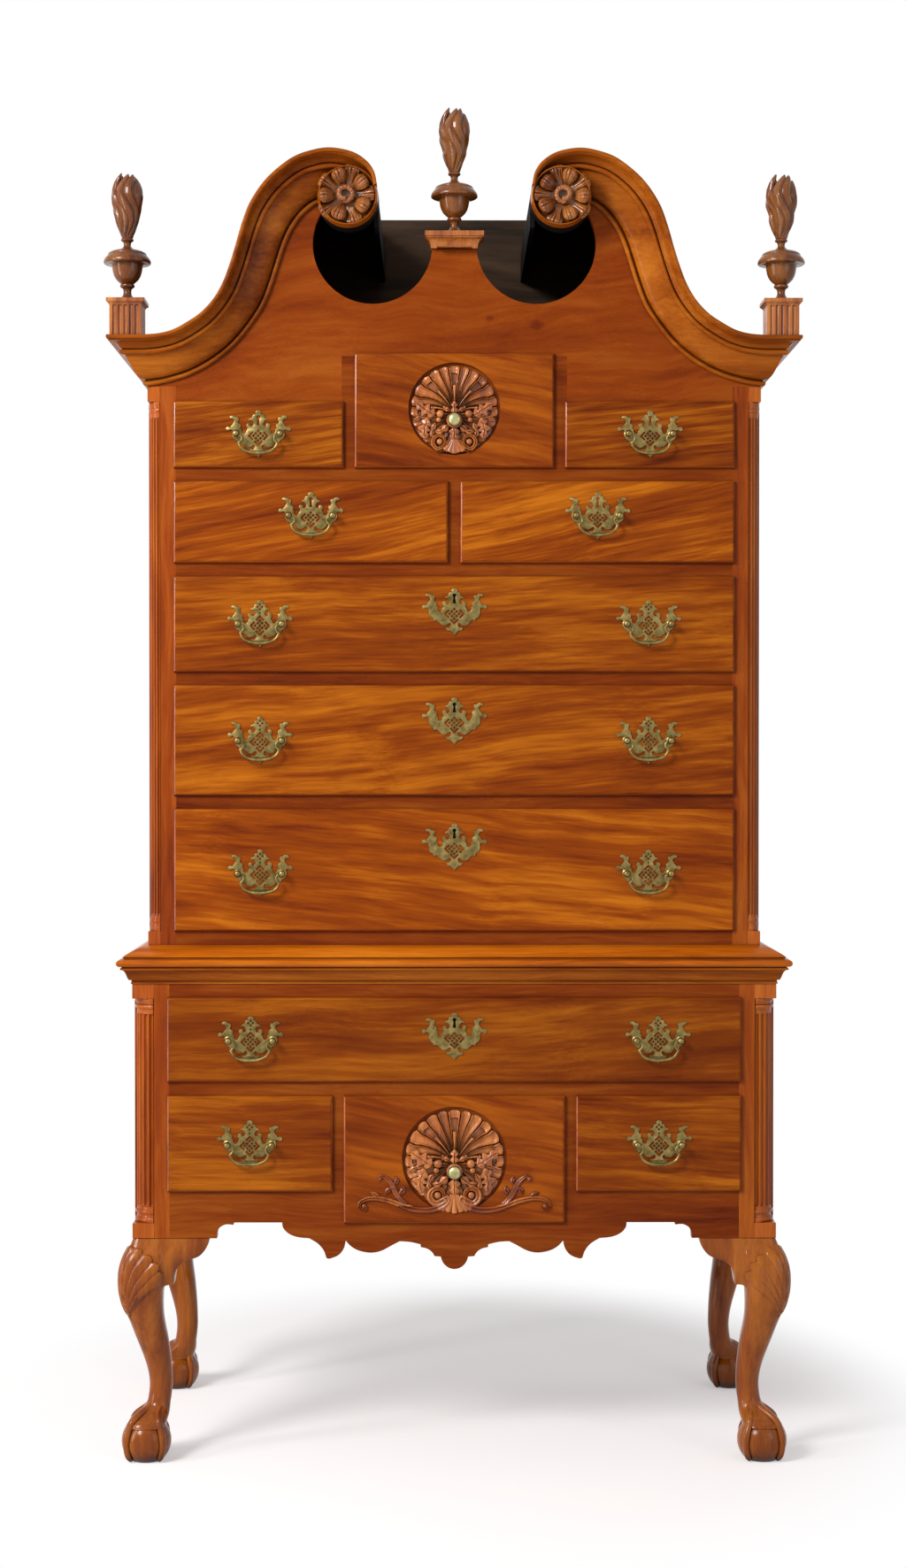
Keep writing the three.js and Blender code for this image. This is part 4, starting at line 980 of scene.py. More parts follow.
# %% Apron
apron_runs = runs(
    ([(1.000, 0.000), (0.834, 0.000), (0.833, 0.192)], 1),
    ([(0.833, 0.192), (0.824, 0.345), (0.802, 0.447), (0.776, 0.432)], 4),
    ([(0.776, 0.432), (0.775, 0.508), (0.605, 0.508)], 1),
    ([(0.605, 0.508), (0.601, 0.326), (0.581, 0.143), (0.550, 0.035), (0.510, -0.002)], 4),
    ([(0.510, -0.002), (0.479, -0.177), (0.459, -0.400), (0.450, -0.631)], 4),
    ([(0.450, -0.631), (0.439, -0.661), (0.407, -0.544), (0.388, -0.320), (0.382, -0.078)], 4),
    ([(0.382, -0.078), (0.364, -0.255), (0.336, -0.400), (0.296, -0.469), (0.258, -0.413),
      (0.217, -0.218), (0.192, -0.102)], 4),
    ([(0.192, -0.102), (0.155, -0.125), (0.119, -0.203)], 4),
    ([(0.119, -0.203), (0.118, -0.291)], 1),
    ([(0.118, -0.291), (0.095, -0.345), (0.078, -0.46), (0.070, -0.581)], 4),
    ([(0.070, -0.581), (0.048, -0.598)], 1),
    ([(0.048, -0.598), (0.044, -0.72), (0.034, -0.86), (0.018, -0.965), (0.0, -1.0)], 4))
apron_half, centre_half, apron_t, bed_t = 0.492, 0.1875, 0.022, 0.012
apron_drop = 0.0537
z_side_bed, z_centre_bed = 0.4725, 0.418
half = [(0, z_centre_bed), (centre_half, z_centre_bed), (centre_half, z_side_bed), (apron_half, z_side_bed)]
half += [(x * apron_half, leg_rise + z * apron_drop) for x, z in apron_runs]
bm = bmesh.new()
board(bm, mirrored(half), y_lower, y_lower + apron_t)
for low, high, bed in ((-apron_half, -centre_half, z_side_bed), (centre_half, apron_half, z_side_bed),
                       (-centre_half, centre_half, z_centre_bed)):
    block(bm, (low, y_lower + apron_t, bed - bed_t), (high, y_back - back_board, bed))
piece("shaped_apron", bm, case_x, stands_for=["apron"], smooth=32)
print("apron made")

# %% [markdown]
# Each leg is sawn from one block: a square post above, then the knee that
# swings out, the slim ankle and the foot. Rings down the leg change from nearly
# square to nearly round. The knee carries a carved shell of lobes that gather
# to a point below; it is carved here as a chisel would, by moving the surface
# out along the ring wherever a lobe lies.

# %% Leg surface
post = 0.064
leg_table = [(1.000, 0.000, 0.980, 6), (0.960, 0.100, 0.965, 5.6), (0.924, 0.215, 0.940, 5),
             (0.876, 0.315, 0.905, 4), (0.830, 0.352, 0.870, 3.4), (0.759, 0.335, 0.815, 3),
             (0.668, 0.205, 0.805, 2.7), (0.612, 0.090, 0.840, 2.5), (0.552, -0.030, 0.900, 2.4),
             (0.494, -0.150, 0.945, 2.3), (0.437, -0.262, 0.980, 2.2), (0.380, -0.345, 1.000, 2.1),
             (0.325, -0.380, 1.005, 2.1), (0.272, -0.352, 0.978, 2.1), (0.246, -0.312, 0.955, 2.2),
             (0.222, -0.200, 0.945, 2.3), (0.204, -0.060, 0.936, 2.5), (0.186, 0.065, 0.912, 2.7),
             (0.170, 0.152, 0.884, 2.8), (0.161, 0.180, 0.862, 2.7), (0.1545, 0.215, 0.872, 2.5),
             (0.148, 0.190, 0.850, 2.4)]


def leg_at(z):
    share = z / leg_rise
    for i in range(len(leg_table) - 1):
        if leg_table[i][0] >= share >= leg_table[i + 1][0]:
            a, c = map(Vector, beside(leg_table, i))
            b, d = map(Vector, beside(leg_table, i + 1))
            t = (b[0] - share) / (b[0] - c[0])
            m1 = (c - a) * ((b[0] - c[0]) / max(a[0] - c[0], 1e-9))
            m2 = (d - b) * ((b[0] - c[0]) / max(b[0] - d[0], 1e-9))
            h = ((2 * t ** 3 - 3 * t ** 2 + 1) * b + (t ** 3 - 2 * t ** 2 + t) * m1
                 + (-2 * t ** 3 + 3 * t ** 2) * c + (t ** 3 - t ** 2) * m2)
            return h[1], h[2], h[3]
    return leg_table[-1][1:]


lobe_rows = [(0, 377), (7.6, 371), (28, 361), (48.6, 349), (62, 333), (69.5, 315)]
z_gather = 246


def lobe_reach(z):
    """Carved relief on the knee at one height: how far each height of relief reaches round."""
    made = []
    for k in range(161):
        q = k / 160 * 5
        i = min(int(q), 4)
        f = q - i
        reach = lobe_rows[i][0] + (lobe_rows[i + 1][0] - lobe_rows[i][0]) * f
        top = lobe_rows[i][1] + (lobe_rows[i + 1][1] - lobe_rows[i][1]) * f
        if z > top + 5 * sin(pi * f) * (i > 0) or z < z_gather:
            continue
        t = (z - z_gather) / (top - z_gather)
        v = abs(f if i == 0 else 2 * f - 1)
        groove = max(0.0, (v - 0.70) / 0.30) ** 1.6
        height = 1.9 + 1.0 * (1 - v * v) + 1.3 * (1 - groove)
        made.append((reach * t ** 1.55, height * min(1.0, t * 6) ** 0.5))
    return made


def lobe_height(along, reaches):
    for far, height in reaches:
        if far >= along:
            return height
    return 0.0


def cabriole(bm):
    levels = [leg_rise - 0.0008 - 0.0016 * k for k in range(90)]
    levels += [levels[-1] - 0.0050 * (k + 1) for k in range(26)]
    levels += [0.1100 - 0.0042 * k for k in range(8)]
    levels += [0.0765, 0.0735, 0.0705, 0.0680, 0.0655, 0.0635, 0.0620, 0.0608, 0.0597, 0.0587, 0.0575]
    levels = sorted({round(z, 5) for z in levels if z >= 0.0575}, reverse=True)
    sides = 176
    rings = []
    for z in levels:
        out, inward, power = leg_at(z)
        centre, half = (out - inward) / 2 * post, (out + inward) / 2 * post
        ring = []
        for k in range(sides):
            a = -pi / 4 + k / sides * 2 * pi
            c, s = cos(a), sin(a)
            reach = half / (abs(c) ** power + abs(s) ** power) ** (1 / power)
            ring.append(Vector((centre + c * reach, -centre + s * reach, z)))
        if 0.246 < z < 0.380:
            reaches = lobe_reach(z / mm)
            walked = [0.0] * sides
            for k in range(1, sides // 2 + 1):
                walked[k] = walked[k - 1] + (ring[k] - ring[k - 1]).length
                walked[-k] = walked[-k + 1 if k > 1 else 0] + (ring[-k] - ring[(-k + 1) % sides]).length
            middle = Vector((centre, -centre, z))
            ring = [p + (p - middle).normalized() * lobe_height(walked[k] / mm, reaches) * mm
                    for k, p in enumerate(ring)]
        rings.append(ring)
    loft(bm, rings)


# %% [markdown]
# A knee bracket is glued to each side of the knee. Its face starts as full as
# the knee and dies away to the flat of the apron. The foot is a ball held by
# four claws: the ankle spreads over the ball as a web, and each claw is a tapering
# rod with two knuckles that hugs the ball down to its talon.

# %% Brackets and feet
bracket_line = runs(([(0.60, 1.00), (0.70, 0.975)], 1),
                    ([(0.70, 0.975), (0.79, 0.925), (0.87, 0.875), (0.96, 0.853), (1.10, 0.853)], 3),
                    ([(1.10, 0.853), (1.12, 0.782), (1.14, 0.674), (1.18, 0.58), (1.277, 0.485),
                      (1.376, 0.431), (1.51, 0.391), (1.65, 0.368), (1.81, 0.318), (1.95, 0.214),
                      (2.035, 0.105), (2.07, 0.00)], 3))


def bracket(bm, swap):
    rings = []
    for along, down in bracket_line:
        fade = max(0.0, 1 - (along - 0.60) / 1.46) ** 0.8
        ring = []
        for k in range(17):
            z = leg_rise - 0.0008 - k / 16 * max(down, 0.012) * 0.093
            out = leg_at(z)[0]
            roll = 0.016 * (k / 16) ** 3.2 * fade
            ring.append((-along * post, -max(out, 0) * post * fade * 0.94 + roll, z))
        ring += [(-along * post, 0.030, ring[-1][2]), (-along * post, 0.030, leg_rise - 0.0008)]
        rings.append([(-y, -x, z) for x, y, z in ring] if swap else ring)
    loft(bm, rings)


claw_path = [(9, 97, 6.6), (13.5, 90, 7.2), (18.5, 83, 7.5), (26, 76, 7.1), (32, 70, 6.6), (35.5, 63, 6.2),
             (39, 56, 6.2), (42, 48.5, 6.9), (43.8, 41, 6.8), (44.2, 33, 6.0), (43.4, 24, 5.8),
             (41.2, 15.5, 6.0), (38, 9, 5.6), (34.8, 4.6, 4.2), (32.5, 2.6, 2.2)]


def claw_foot(bm):
    foot = Vector((-0.0212, 0.0212, 0))
    ball = bmesh.ops.create_uvsphere(bm, u_segments=64, v_segments=40, radius=0.043)["verts"]
    bmesh.ops.translate(bm, verts=ball, vec=foot + Vector((0, 0, 0.033)))
    for vert in ball:
        vert.co.z = max(vert.co.z, 0.0)
    smooth_path = curve_through(claw_path, 3)
    for turn in range(4):
        angle = pi / 4 + turn * pi / 2
        out = Vector((cos(angle), sin(angle), 0))
        side = Vector((-sin(angle), cos(angle), 0))
        rings = []
        for i, (r, z, thick) in enumerate(smooth_path):
            a, b = beside(smooth_path, i)
            run = (out * (b[0] - a[0]) + Vector((0, 0, b[1] - a[1]))).normalized()
            lift = side.cross(run)
            if lift.dot(out) < 0:
                lift = -lift
            reach, inward, _ = leg_at(max(z, 66) * mm)
            ankle = Vector(((reach - inward) / 2 * post, (inward - reach) / 2 * post, 0))
            centre = foot.lerp(ankle, max(0.0, min(1.0, (z - 62) / 34)))
            rings.append([centre + (out * r + Vector((0, 0, z))) * mm
                          + (side * cos(t) * thick * 1.02
                             + lift * sin(t) * thick * (0.95 if sin(t) > 0 else 0.7)) * mm
                          for t in (k * 2 * pi / 16 for k in range(16))])
        for ring in rings:
            for p in ring:
                p.z = max(p.z, 0.0004)
        loft(bm, rings)


# %% Legs
def leg_bmesh(front):
    bm = bmesh.new()
    recess = lower_column_radius
    corner = [(-recess, 0), (-recess, recess), (0, recess)] if front else [(0, 0)]
    outline = [(-post, 0)] + corner + [(0, post), (-post, post)]
    loft(bm, [[(x, y, z) for x, y in outline] for z in (leg_rise, post_top)])
    cabriole(bm)
    bracket(bm, False)
    bracket(bm, True)
    claw_foot(bm)
    if not front:
        bmesh.ops.scale(bm, verts=bm.verts, vec=(1, -1, 1))
    bmesh.ops.translate(bm, verts=bm.verts, vec=(lower_half, y_lower if front else y_back, 0))
    bmesh.ops.recalc_face_normals(bm, faces=bm.faces)
    return bm


for name in ("front", "back"):
    for leg in pair(f"carved_leg_{name}", leg_bmesh(name == "front"), glossy_z, nodes=[f"leg_{name}"],
                    smooth=40):
        second_finish(leg, case_z, lambda f: f.center.z > leg_rise + 0.0005)
        second_finish(leg, claw_wood, lambda f: f.center.z < 0.086)
print("legs made")

# %% [markdown]
# The finials are turned urns with carved flames. The turning is one half
# section spun about its axis. A flame is carved as a bundle of tongues that
# climb in a slow S round the core and part into separate tips, so each tongue
# here is its own tapering rod, oval in section, laid side by side.

# %% Finials
urn_profile = [(0, 0), (13.6, 0), (13.6, 1.4), (11.6, 4.2), (8.6, 7.4), (7.0, 11), (6.6, 15.5), (7.6, 19.4),
               (9.6, 21.2), (12.2, 22.8), (12.7, 24.8), (12.0, 26.8), (10.6, 27.8), (11.6, 29.0),
               (15.0, 31.6), (19.4, 36.0), (22.6, 41.6), (24.6, 47.6), (25.8, 54.0), (26.4, 60.2),
               (28.4, 61.6), (35.0, 62.2), (38.8, 62.2), (40.3, 63.4), (40.6, 65.4), (40.0, 68.2),
               (38.2, 71.4), (35.8, 74.2), (33.6, 76.6), (33.0, 77.4), (32.9, 79.2), (31.8, 80.6),
               (27.6, 83.0), (21.4, 85.0), (15.2, 86.2), (11.6, 87.4), (10.2, 89.0), (7.9, 90.6),
               (6.5, 92.6), (6.1, 95.6), (6.5, 98.4), (8.0, 100.4), (10.4, 101.6), (11.0, 103.2),
               (10.4, 104.9), (8.8, 106.0), (9.0, 108), (9.4, 113), (0, 113)]
flame_reach = [(0, 9.4), (0.04, 10.6), (0.14, 15.2), (0.26, 20.0), (0.40, 22.4), (0.52, 25.2),
               (0.64, 26.6), (0.76, 25.0), (0.865, 21.2), (0.93, 17.4), (1.0, 11.5)]
flame_foot, flame_rise = 0.1066, 0.1105


def flame(bm, base, seed):
    chance = random.Random(seed)
    turning(bm, [(0, 100), (8.8, 104), (10.4, 116), (15, 133), (18, 156), (16, 168), (9, 176), (0, 180)],
            base, 24)
    count, levels = 10, 46
    for k in range(count):
        start = (k + 0.35) / count * 2 * pi + chance.uniform(-0.06, 0.06)
        own = chance.uniform(-0.12, 0.12)
        across = cos(start + 0.42)
        reach = 1.0 if across < -0.72 else 0.74 if across < 0.02 else 0.985 if across < 0.85 else 0.91
        reach += chance.uniform(-0.012, 0.0)
        rings = []
        for i in range(levels + 1):
            whole = i / levels
            t = whole * reach
            angle = start + 0.56 * sin(2 * pi * (1.03 * t + 0.02) + own) + 0.34 * t
            envelope = along_table(flame_reach, t)
            taper = sqrt(max(0.0, 1 - max(0.0, (whole - 0.70) / 0.30) ** 2.2))
            wide = max(envelope * 2 * pi / count * 0.66 * (0.05 + 0.95 * taper), 0.25)
            deep = max(envelope * 0.34 * (0.05 + 0.95 * taper), 0.25)
            middle = envelope - deep * 1.02 + 0.7 * sin(8.0 * t + 2.4 * k)
            out = Vector((cos(angle), sin(angle), 0))
            side = Vector((-sin(angle), cos(angle), 0))
            centre = Vector(base) + out * middle * mm + Vector((0, 0, flame_foot + t * flame_rise))
            ring = []
            for a in (j / 16 * 2 * pi for j in range(16)):
                crest = 0.80 + 0.42 * max(0.0, cos(a - 0.45)) ** 3.5
                ring.append(centre + (out * cos(a) * deep * crest + side * sin(a) * wide) * mm)
            rings.append(ring)
        loft(bm, rings)


def plinth_fluted(bm, x, y, z, half, rise, flutes=5):
    """A block with hollows down its four faces, between plain edges."""
    edge = [(-half, -half)]
    pitch_across = 2 * half * 0.86 / flutes
    for f in range(flutes):
        start = -half * 0.86 + f * pitch_across
        for s in range(9):
            u = s / 8
            deep = 0.0032 * sin(pi * u) ** 0.7 if 0 < s < 8 else 0.0
            edge.append((start + pitch_across * (0.12 + 0.76 * u), -half + deep))
    ring = []
    for turn in range(4):
        a = turn * pi / 2
        ring += [(x + px * cos(a) - py * sin(a), y + px * sin(a) + py * cos(a)) for px, py in edge]
    loft(bm, [[(px, py, level) for px, py in ring] for level in (z, z + rise)])


def stepped_cap(bm, x, y, z, rows):
    """Rows of half width, half depth and height above z, in millimetres."""
    loft(bm, [[(x + sx * wide * mm, y + sy * deep * mm, z + up * mm)
               for sx, sy in ((-1, -1), (1, -1), (1, 1), (-1, 1))] for wide, deep, up in rows])


def urn_and_flame(bm, name, base, seed):
    """Finish a finial whose plinth is already in bm."""
    turning(bm, urn_profile, base, 56)
    flame(bm, base, seed)
    made = piece(f"urn_and_flame_{name}", bm, turned_z, stands_for=[f"finial_{name}"],
                 slot="carved_wood", smooth=34)
    second_finish(made, dark_carved, lambda f: f.center.z > base[2] + 0.0001)


for side, name, seed in ((1, "right", 5), (-1, "left", 11)):
    x, y, z = side * 0.5613, -0.2630, 1.9393
    bm = bmesh.new()
    plinth_fluted(bm, x, y, z, 0.0275, 0.0515)
    stepped_cap(bm, x, y, z, [(half, half, up) for half, up in (
        (27.0, 51.0), (28.2, 52.6), (29.8, 54.8), (32.2, 56.2), (32.8, 57.0), (32.8, 62.5))])
    urn_and_flame(bm, name, (x, y, z + 0.0625), seed)
bm = bmesh.new()
y, z = y_upper + 0.011, 2.0973
stepped_cap(bm, 0, y, z, [(30.5, 30.5, 0), (30.5, 30.5, 1)])
stepped_cap(bm, 0, y, z, [(40.0, 19.0, 0), (40.2, 19.2, 3.0), (41.2, 20.0, 8.0), (43.2, 22.0, 13.0),
                          (47.0, 26.2, 16.5), (48.2, 27.4, 17.0), (48.2, 27.4, 19.5),
                          (50.8, 30.0, 19.5), (50.8, 30.0, 28.0)])
urn_and_flame(bm, "centre", (0, y, z + 0.028), 3)
print("finials made")

# %% [markdown]
# A rosette closes each scroll: five full petals curl forward over five flatter
# ones, round a roped ring that winds in to a berry. A petal is a loft of curved
# cross sections, high at its rolled tip and hollow behind.

# %% Rosettes
def petal(bm, centre, angle, rows, sink):
    out = Vector((cos(angle), 0, sin(angle)))
    side = Vector((-sin(angle), 0, cos(angle)))
    front = Vector((0, -1, 0))
    path = curve_through(rows, 3)
    rings = []
    for i, (r, high, half) in enumerate(path):
        t = i / (len(path) - 1)
        ring = []
        for j in range(15):
            v = -1 + j / 7
            cup = (1.8 * v * v - sink * v ** 6) * min(1.0, t * 2.2)
            vein = -1.1 * cos(v * pi * 5) * min(1.0, t * 2) - 2.4 * exp(-(v / 0.16) ** 2) * t ** 2
            wave = (0.9 * cos(v * pi * 5) - 1.6 * v * v) * t ** 2
            ring.append(centre + (out * (r + wave) + side * half * v + front * (high + cup + vein)) * mm)
        low = [centre + (out * max(r - 4.0, 6) + side * half * v * 0.7
                         + front * max(min(high - 8.0, 3.0), -2.0)) * mm
               for v in (0.9, 0.45, 0, -0.45, -0.9)]
        rings.append(ring + low)
    loft(bm, rings)


upper_petal = [(13, 4.0, 3.4), (18, 5.4, 5.2), (23, 8.8, 8.0), (28, 13.6, 10.8), (33, 17.0, 12.6),
               (38, 18.4, 13.2), (42.5, 17.2, 12.2), (45.6, 14.2, 9.8), (46.4, 11.0, 6.4), (45.0, 8.4, 3.2)]
lower_petal = [(17, 1.6, 4.0), (24, 2.8, 7.0), (31, 4.6, 9.4), (38.5, 7.4, 12.0), (45.0, 9.6, 13.4),
               (50.5, 9.4, 12.6), (53.2, 7.0, 9.8), (52.8, 3.8, 5.6)]


def rosette_bmesh():
    bm = bmesh.new()
    centre = Vector((scroll_end[0] + 0.0035, -0.2776, scroll_end[1] + 0.0015))
    chance = random.Random(8)
    for k in range(5):
        for start, rows, sink in ((143, upper_petal, 7.6), (107, lower_petal, 4.6)):
            size = chance.uniform(0.95, 1.04)
            rows = [(13 + (r - 13) * size, high * chance.uniform(0.96, 1.06), half * size)
                    for r, high, half in rows]
            petal(bm, centre, radians(start - 72 * k + chance.uniform(-4, 4)), rows, sink)
    turning(bm, [(0, -2), (44, -2), (44, 0.6), (30, 1.6), (16, 2), (0, 2)], centre, 48, "-Y")
    turning(bm, [(0, 2), (15.4, 2), (15.4, 7), (11, 8), (5, 6), (0, 6)], centre, 32, "-Y")
    rings = []
    for i in range(111):
        t = i / 110
        a = radians(-70) - t * 2 * pi * 1.12
        far = 11.6 - 5.2 * max(0.0, t - 0.62) / 0.38
        thick = (4.4 + 0.9 * t) * (1.0 if t < 0.93 else sqrt(max(0.02, 1 - ((t - 0.93) / 0.07) ** 2)))
        out = Vector((cos(a), 0, sin(a)))
        ring = []
        for b in (j / 14 * 2 * pi for j in range(14)):
            rope = 1.0 + 0.10 * cos(3 * b + 2 * pi * 15 * t) * (t < 0.86)
            ring.append(centre + (out * (far + cos(b) * thick * rope)
                                  + Vector((0, -1, 0)) * (9.5 + 2.6 * t + sin(b) * thick * rope)) * mm)
        rings.append(ring)
    loft(bm, rings)
    return bm


pair("carved_rosette", rosette_bmesh(), petal_wood, nodes=["rosette"], slot="carved_wood", smooth=50)
print("rosettes made")

# %% [markdown]
# The two shell drawers. A round sinking is carved into the front and the shell
# rises from its floor: lobes fan out from a hub just above the knob, bend
# outwards as they go, and end in a scalloped rim. Each lobe is a hollow between
# two beads; every third one is filled at its root by a round rod that stops
# short and leaves a dark pocket. The relief is a function of the place on the
# disc, and a polar net of points is lifted by it, as a carver lowers the ground.

# %% Shell relief
lobe_edges = [-124, -109, -94, -79, -64, -47, -33, -19, -7.5, 7.5, 19, 33, 47, 64, 79, 94, 109, 124]
pocket_lobes = {2, 5, 8, 11, 14}


class Shell:
    def __init__(self, z_knob, z_middle, radius, scale, front):
        self.z_knob, self.z_hub, self.radius = z_knob, z_knob + 0.012 * scale, radius
        self.scale, self.front, self.ground = scale, front, front + shell_floor
        self.drop = (z_middle - self.z_hub) / mm

    def rim(self, angle):
        """From the hub to the round edge, in millimetres; angle in degrees from straight up."""
        a = radians(angle)
        return self.drop * cos(a) + sqrt((self.radius / mm) ** 2 - (self.drop * sin(a)) ** 2)

    def lobe(self, angle, share):
        fan = 0.62 + 0.38 * min(share * 1.15, 1.0)
        end = angle / fan if abs(angle) < 100 * fan else angle
        for i in range(len(lobe_edges) - 1):
            if lobe_edges[i] <= end < lobe_edges[i + 1]:
                middle = (lobe_edges[i] + lobe_edges[i + 1]) / 2
                return i, (end - middle) / ((lobe_edges[i + 1] - lobe_edges[i]) / 2)
        back = (end % 360 - 124) / 112.001 * 9
        return 90 + int(back), (back % 1) * 2 - 1

    def height(self, angle, share):
        """Millimetres above the floor of the sinking."""
        i, v = self.lobe(angle, share)
        v = abs(v)
        body = 6.2 + 2.6 * sin(pi * min(share * 0.95, 1.0)) - 1.2 * share
        edge = min(1.0, share * 3.0)
        bead = 1.9 * edge * exp(-((v - 0.78) / 0.11) ** 2)
        seam = -3.2 * edge * max(0.0, (v - 0.86) / 0.14) ** 1.2
        hollow = -2.9 * edge * max(0.0, 1 - (v / 0.66) ** 2) ** 0.6
        if i >= 90:
            return body * 0.72 + 0.6 * bead + seam * 0.6 + hollow * 0.5
        if i in pocket_lobes:
            if share < 0.60:
                round_rod = 1.4 * sqrt(max(0.0, 1 - (v / 0.52) ** 2)) - 0.6
                return body + bead + seam + (round_rod if v < 0.52 else -4.4 * edge * (v < 0.68))
            if share < 0.86 and v < 0.66:
                return body - 6.6
        lip = 0.9 * exp(-((share - 0.95) / 0.035) ** 2)
        return body + bead + seam + hollow + lip

    def place(self, angle, share):
        far = self.rim(angle) * share * 0.94
        a = radians(angle)
        return Vector((sin(a) * far * mm, self.ground - self.height(angle, share) * mm,
                       self.z_hub + cos(a) * far * mm))


def shell_relief(bm, shell):
    angles = [-124 + (k + 0.5) / 560 * 248 for k in range(560)]
    angles += [124 + (k + 0.5) / 100 * 112 for k in range(100)]
    rows = 46
    rings = []
    for j in range(1, rows + 1):
        share = (j / rows) ** 0.9
        ring = []
        for angle in angles:
            _, v = shell.lobe(angle, share)
            scallop = 1.0 - 0.050 * abs(v) ** 2.6 * (share ** 6)
            p = shell.place(angle, share)
            ring.append(Vector((p.x * scallop, p.y, shell.z_hub + (p.z - shell.z_hub) * scallop)))
        rings.append(ring)
    skirt = [Vector((p.x * 1.004, shell.ground + 0.0004, shell.z_hub + (p.z - shell.z_hub) * 1.004))
             for p in rings[-1]]
    loft(bm, rings + [skirt], caps=False)
    bm.verts.ensure_lookup_table()
    bm.faces.new([bm.verts[k] for k in range(len(angles))])


# %% [markdown]
# Leaves, scrolls and tendrils lie over the shell. A leaf is a loft along a bent
# midrib whose width swells and pinches into lobes, with a sunk rib. A scroll is
# a band with a rounded back that winds in to an eye and thins out as a tendril.

# %% Leaves and scrolls
def stations(line, steps):
    """Along a smoothed line: how far, the point, the way it runs and the way across."""
    path = curve_through([Vector(p) for p in line], steps)
    for i, p in enumerate(path):
        before, after = beside(path, i)
        run = (after - before).normalized()
        yield i / (len(path) - 1), p, run, Vector((-run.y, run.x))


def leaf(bm, line, half, base, high, lobes):
    """line, half and high in millimetres from the knob's axis; base is y in metres."""
    rings = []
    for t, p, run, across in stations(line, 6):
        swell = sin(pi * min(0.12 + 0.88 * t, 1.0)) ** 0.65
        notch = 0.70 + 0.30 * cos(2 * pi * (lobes * t - 0.45)) if t < 0.93 else 0.8
        wide = max(half * swell * notch, 0.35)
        top = []
        for j in range(13):
            v = -1 + j / 6
            forward = half * 0.275 * abs(v) ** 1.5 * swell
            rib = -1.5 * exp(-(v / 0.10) ** 2) + 0.5 * exp(-((abs(v) - 0.24) / 0.12) ** 2)
            vein = 0.7 * cos(2 * pi * (lobes * (t + abs(v) * 0.16) - 0.45))
            rise = high * (1 - 0.62 * abs(v) ** 2.2) * (0.55 + 0.45 * sin(pi * min(t * 1.05, 1))) + rib + vein
            q = p + across * wide * v + run * forward
            top.append((q, max(rise, 0.5)))
        ring = [Vector((q.x * mm, base - rise * mm, q.y * mm)) for q, rise in top]
        ring += [Vector((q.x * mm, base + 0.0012, q.y * mm)) for q, _ in reversed(top[::3])]
        rings.append(ring)
    loft(bm, rings)


def scroll(bm, line, widths, base, high, steps, groove=0.35):
    """A band with a rounded back that is sunk along its middle by the groove."""
    section = mirrored([(0, 1 - groove), (0.2, 1 - groove * 0.6), (0.45, 1.0), (0.72, 0.86), (0.96, 0.45),
                        (1, -0.3)])
    rings = []
    for t, p, _, across in stations(line, steps):
        wide = along_table(widths, t)
        tall = high * min(1.0, wide / widths[0][1] * 1.15 + 0.15)
        points = [(p + across * wide * v, tall * up) for v, up in section]
        rings.append([Vector((q.x * mm, base - up * mm, q.y * mm)) for q, up in points])
    loft(bm, rings)


def berry(bm, x, z, radius, base, flat=0.8):
    made = bmesh.ops.create_uvsphere(bm, u_segments=18, v_segments=12, radius=radius * mm)["verts"]
    bmesh.ops.scale(bm, verts=made, vec=(1, flat, 1))
    bmesh.ops.translate(bm, verts=made, vec=(x * mm, base, z * mm))


def spiral(x, z, radius, sense):
    """Points from the eye outwards, a little more than one turn."""
    made = []
    for i in range(11):
        t = i / 11.5
        a = sense * t * 1.15 * 2 * pi - pi / 2
        r = radius * (0.66 + 0.34 * t)
        made.append((x + r * cos(a), z + r * sin(a)))
    return made


# %% Shell ornaments
side_leaves = [([(38, 9), (48, 15), (60, 23), (74, 33)], 14.5, 1.6, 5.2, 3),
               ([(50, 3), (56, -8), (59, -20), (57, -35)], 14.0, 1.4, 5.2, 3),
               ([(36, -4), (42, -14), (44, -24), (40, -33)], 7.0, 0.2, 3.6, 2),
               ([(52, 8), (62, 8), (70, 5), (80, -1)], 6.5, 0.2, 3.6, 2),
               ([(10, -9), (19, -16), (28, -22), (38, -22)], 8.5, 1.4, 4.8, 2),
               ([(6, 16), (12, 20), (17, 22), (23, 18)], 5.0, 1.8, 4.4, 1)]
middle_leaves = [([(0, 12), (0, 20), (0, 28), (0, 38)], 9.0, 2.2, 4.6, 2),
                 ([(0, -12), (0, -21), (0, -30), (0, -42)], 12.0, 2.0, 5.0, 2)]
tendril = [(12, -47), (19.6, -58.5), (41, -66.4), (68.5, -65.6), (90, -59.3), (112, -51), (136.5, -46.5),
           (153, -48.4), (163.5, -55.5), (162, -64.0), (154.5, -64.8), (153, -60)]
tendril_widths = [(0, 2.0), (0.16, 3.6), (0.34, 6.0), (0.5, 7.4), (0.62, 6.0), (0.8, 4.0), (0.92, 3.2),
                  (1, 4.2)]
curl = [(9.0, -37.0), (11, -46), (19, -52), (29, -55.5)]
curl_widths = [(0, 1.6), (0.3, 3.0), (0.6, 3.8), (0.8, 3.8), (1, 0.8)]


